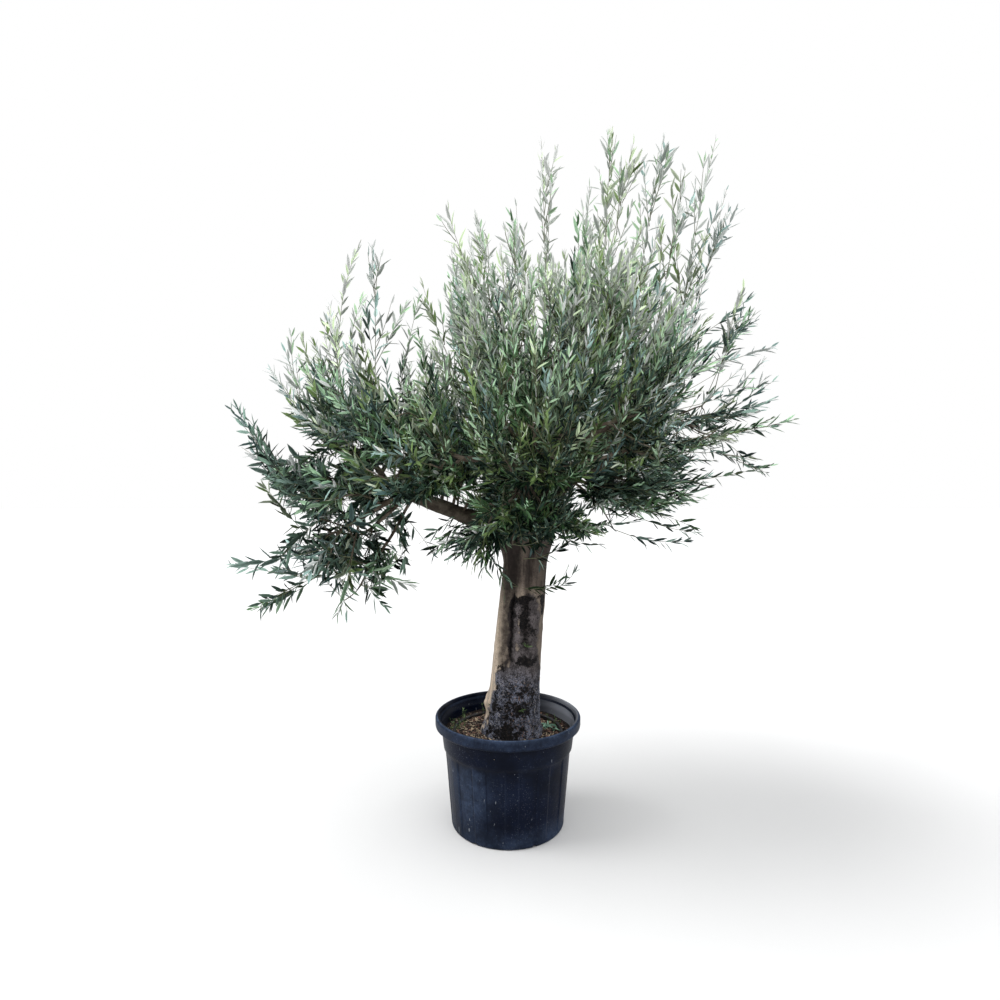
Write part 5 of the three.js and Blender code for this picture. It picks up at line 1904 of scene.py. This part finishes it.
class OLIVE_OT_weeds(bpy.types.Operator):
    """Builds the small weeds on the soil and the tufts on the trunk's bark"""
    bl_idname = "olive.weeds"
    bl_label = "Weeds"

    def execute(self, context):
        sizes = context.scene.olive_soil
        rng = np.random.default_rng(sizes.seed + 1)
        feet = np.repeat(WEED_PATCHES, PATCH_STALKS, axis=0)
        feet = feet + rng.normal(0, 0.016, feet.shape)
        low = np.column_stack([feet, 0 * feet[:, 0]])
        low[:, 2] = soil_level(low) - 0.002
        lean = rng.normal(0, 0.008, feet.shape)
        high = low + np.column_stack([lean, rng.uniform(0.012, 0.05, len(feet))])
        shares = np.linspace(0, 1, STALK_RINGS)[None, :, None]
        lines = (low[:, None] * (1 - shares) + high[:, None] * shares).reshape(-1, 3)
        stalks = tubes(lines, np.full(len(lines), 0.0007), np.arange(len(feet)) * STALK_RINGS, 4)
        piece("weed_stalks", *stalks, [stem_finish("weed_stalks", sizes.weed)], "leaf")
        tufts, out = trunk_tufts()
        roots = np.concatenate([high, (low + high) / 2, tufts])
        leans = np.concatenate([np.zeros((2 * len(feet), 3)), out * 1.2])
        leaves, long = np.array(TUFTS).T[2:]
        numbers = np.append(np.full(2 * len(feet), 3), leaves.astype(int))
        long = np.append(np.full(2 * len(feet), 0.013), long)
        spread = rosettes(rng, roots, numbers, np.repeat(long, numbers), 0.7, leans)
        self.leaves("weed_leaves", rng, spread, 0.3, 0.15, sizes.weed)
        x, y, leaves, *lean = np.array(BROAD_WEEDS).T
        roots = np.stack([x, y, 0 * x], axis=1)
        roots[:, 2] = soil_level(roots) + 0.006
        spread = rosettes(rng, roots, leaves.astype(int), 0.042, 0.45, np.stack([*lean, 0 * x], axis=1))
        self.leaves("broad_weeds", rng, spread, 0.4, 0.3, sizes.weed_broad)
        return {"FINISHED"}

    def leaves(self, name, rng, spread, breadth, droop, tint):
        """A piece of leaf blades that spread from their roots."""
        long = spread[3]
        upper = leaf_finish(name, tint, 0.45)
        under = leaf_finish(name + "_under", shade(tint, 1.3), 0.6)
        blades = *spread, long * breadth, 0 * long - droop, 0.0006
        leaf_piece(name, blades, rng.uniform(0.2, 0.7, len(long)), upper, under)


class OLIVE_OT_trunk(bpy.types.Operator):
    """Builds the trunk and the boughs with their bark"""
    bl_idname = "olive.trunk"
    bl_label = "Trunk and boughs"

    def execute(self, context):
        sizes = context.scene.olive_trunk
        points, faces, values = trunk_surface(sizes)
        piece("trunk_bark", points, faces, [trunk_bark(sizes)], "bark", ["trunk"], values=values)
        # The boughs' bark is made darker to paint the shade under the crown.
        bark = branch_bark(sizes, "bough_bark", 0.55)
        piece("boughs", *bough_surfaces(sizes), [bark], "bark", BOUGHS)
        bark = branch_bark(sizes, "branch_bark", 0.9)
        centres, radii, starts = crown_plan()[0]
        piece("branches", *tubes(centres, radii, starts, BRANCH_SIDES), [bark], "bark")
        return {"FINISHED"}


class OLIVE_OT_leaves(bpy.types.Operator):
    """Builds the leafy shoots: their stems, and the leaves in each tint"""
    bl_idname = "olive.leaves"
    bl_label = "Shoots and leaves"

    def execute(self, context):
        sizes = context.scene.olive_leaves
        starts, bends, tips, airy = crown_plan()[1]
        rng = np.random.default_rng(context.scene.olive_crown.seed + 1)
        shares = np.broadcast_to(np.linspace(0, 1, STEM_RINGS), (len(starts), STEM_RINGS))
        lines = curves(starts, bends, tips, shares)[0].reshape(-1, 3)
        thick = context.scene.olive_crown.stem_radius * np.tile(np.linspace(1, 0.4, STEM_RINGS), len(starts))
        stems = tubes(lines, thick, np.arange(len(starts)) * STEM_RINGS, STEM_SIDES)
        piece("shoot_stems", *stems, [stem_finish("shoot_stems", sizes.stem)], "bark")
        bases, along, facing, long, tone, shoot = leaves_of_shoots(rng, starts, bends, tips, airy, sizes)
        tint = deal_tints(rng, tips)[shoot]
        wide = long * sizes.width / sizes.length * rng.normal(1, 0.1, len(long))
        wide = wide * (1 + 0.2 * ease(bases[:, 2], 1.9, 1.4) * ease(bases[:, 0], -0.15, -0.4))
        wide = wide * (1 - 0.1 * ease(bases[:, 1], -0.1, -0.55))
        curl = rng.normal(-0.05, 0.07, len(long))
        for number, (name, silver_and_shade) in enumerate(TINTS.items()):
            pick = tint == number
            blades = [numbers[pick] for numbers in (bases, along, facing, long, wide, curl)]
            own = getattr(sizes, name)
            upper = leaf_finish("leaf_" + name, own, 0.4)
            under = leaf_finish("leaf_under_" + name, underside(sizes.under, silver_and_shade, own), 0.62)
            replaces = MASSES + SHOOTS if number == 0 else ()
            leaf_piece("leaves_" + name, (*blades, sizes.thickness), tone[pick], upper, under, replaces)
        return {"FINISHED"}


class OLIVE_OT_stage(bpy.types.Operator):
    """Builds the floor, the light and the camera"""
    bl_idname = "olive.stage"
    bl_label = "Stage"

    def execute(self, context):
        sizes = context.scene.olive_stage
        half = sizes.floor_size / 2
        mesh = bpy.data.meshes.new("floor")
        corners = [(-half, -half, 0), (half, -half, 0), (half, half, 0), (-half, half, 0)]
        mesh.from_pydata(corners, [], [(0, 1, 2, 3)])
        mesh.materials.append(floor_finish(sizes.floor))
        floor = placed("floor", mesh)
        context.scene.world = self.surroundings(sizes)
        self.lamp("key", *KEY_LAMP, sizes.key)
        self.lamp("overhead", *OVERHEAD_LAMP, sizes.overhead)
        camera = bpy.data.cameras.new("camera")
        camera.lens = sizes.lens
        eye = placed("camera", camera)
        eye.location = sizes.camera_place
        eye.rotation_euler = Euler((math.pi / 2 - sizes.camera_dip, 0, 0))
        context.scene.camera = eye
        context.scene.view_settings.view_transform = "Standard"
        return {"FINISHED"}

    def surroundings(self, sizes):
        """A white backdrop that sheds a weaker light of its own from all round."""
        world = bpy.data.worlds.new("surroundings")
        world.use_nodes = True
        nodes = world.node_tree.nodes
        glow = nodes["Background"]
        glow.inputs["Color"].default_value = (*sizes.sky, 1)
        glow.inputs["Strength"].default_value = sizes.glow
        backdrop = nodes.new("ShaderNodeBackground")
        backdrop.inputs["Color"].default_value = (1, 1, 1, 1)
        seen = nodes.new("ShaderNodeLightPath").outputs["Is Camera Ray"]
        blend = nodes.new("ShaderNodeMixShader")
        link = world.node_tree.links.new
        link(seen, blend.inputs["Fac"])
        link(glow.outputs["Background"], blend.inputs[1])
        link(backdrop.outputs["Background"], blend.inputs[2])
        link(blend.outputs["Shader"], nodes["World Output"].inputs["Surface"])
        return world

    def lamp(self, name, source, breadth, strength):
        """A distant soft lamp that shines from a direction, as broad in the sky as the angle in degrees."""
        light = bpy.data.lights.new(name, "SUN")
        light.angle = math.radians(breadth)
        light.energy = strength
        placed(name, light).rotation_euler = Vector(source).to_track_quat("Z", "Y").to_euler()


class OLIVE_PT_tree(bpy.types.Panel):
    """Lists the steps that build the tree"""
    bl_idname = "OLIVE_PT_tree"
    bl_label = "Potted Olive Tree"
    bl_space_type = "VIEW_3D"
    bl_region_type = "UI"
    bl_category = "Olive"

    def draw(self, context):
        for step in STEPS:
            self.layout.operator(step.bl_idname)
        for group in GROUPS:
            box = self.layout.box()
            sizes = getattr(context.scene, group)
            for name in sizes.bl_rna.properties.keys():
                if name not in ("rna_type", "name"):
                    box.prop(sizes, name)


STEPS = (OLIVE_OT_pot, OLIVE_OT_soil, OLIVE_OT_weeds, OLIVE_OT_trunk, OLIVE_OT_leaves, OLIVE_OT_stage)


def register():
    """Registers the classes and hangs the property groups on the scene."""
    for group in (*GROUPS.values(), *STEPS, OLIVE_PT_tree):
        bpy.utils.register_class(group)
    for name, group in GROUPS.items():
        setattr(bpy.types.Scene, name, bpy.props.PointerProperty(type=group))


def unregister():
    """Takes the property groups and the classes away again."""
    for name in GROUPS:
        delattr(bpy.types.Scene, name)
    for group in reversed((*GROUPS.values(), *STEPS, OLIVE_PT_tree)):
        bpy.utils.unregister_class(group)


def main():
    """Builds the tree and its stage."""
    register()
    bpy.ops.olive.pot()
    bpy.ops.olive.soil()
    bpy.ops.olive.weeds()
    bpy.ops.olive.trunk()
    bpy.ops.olive.leaves()
    bpy.ops.olive.stage()


if __name__ == "__main__":
    main()
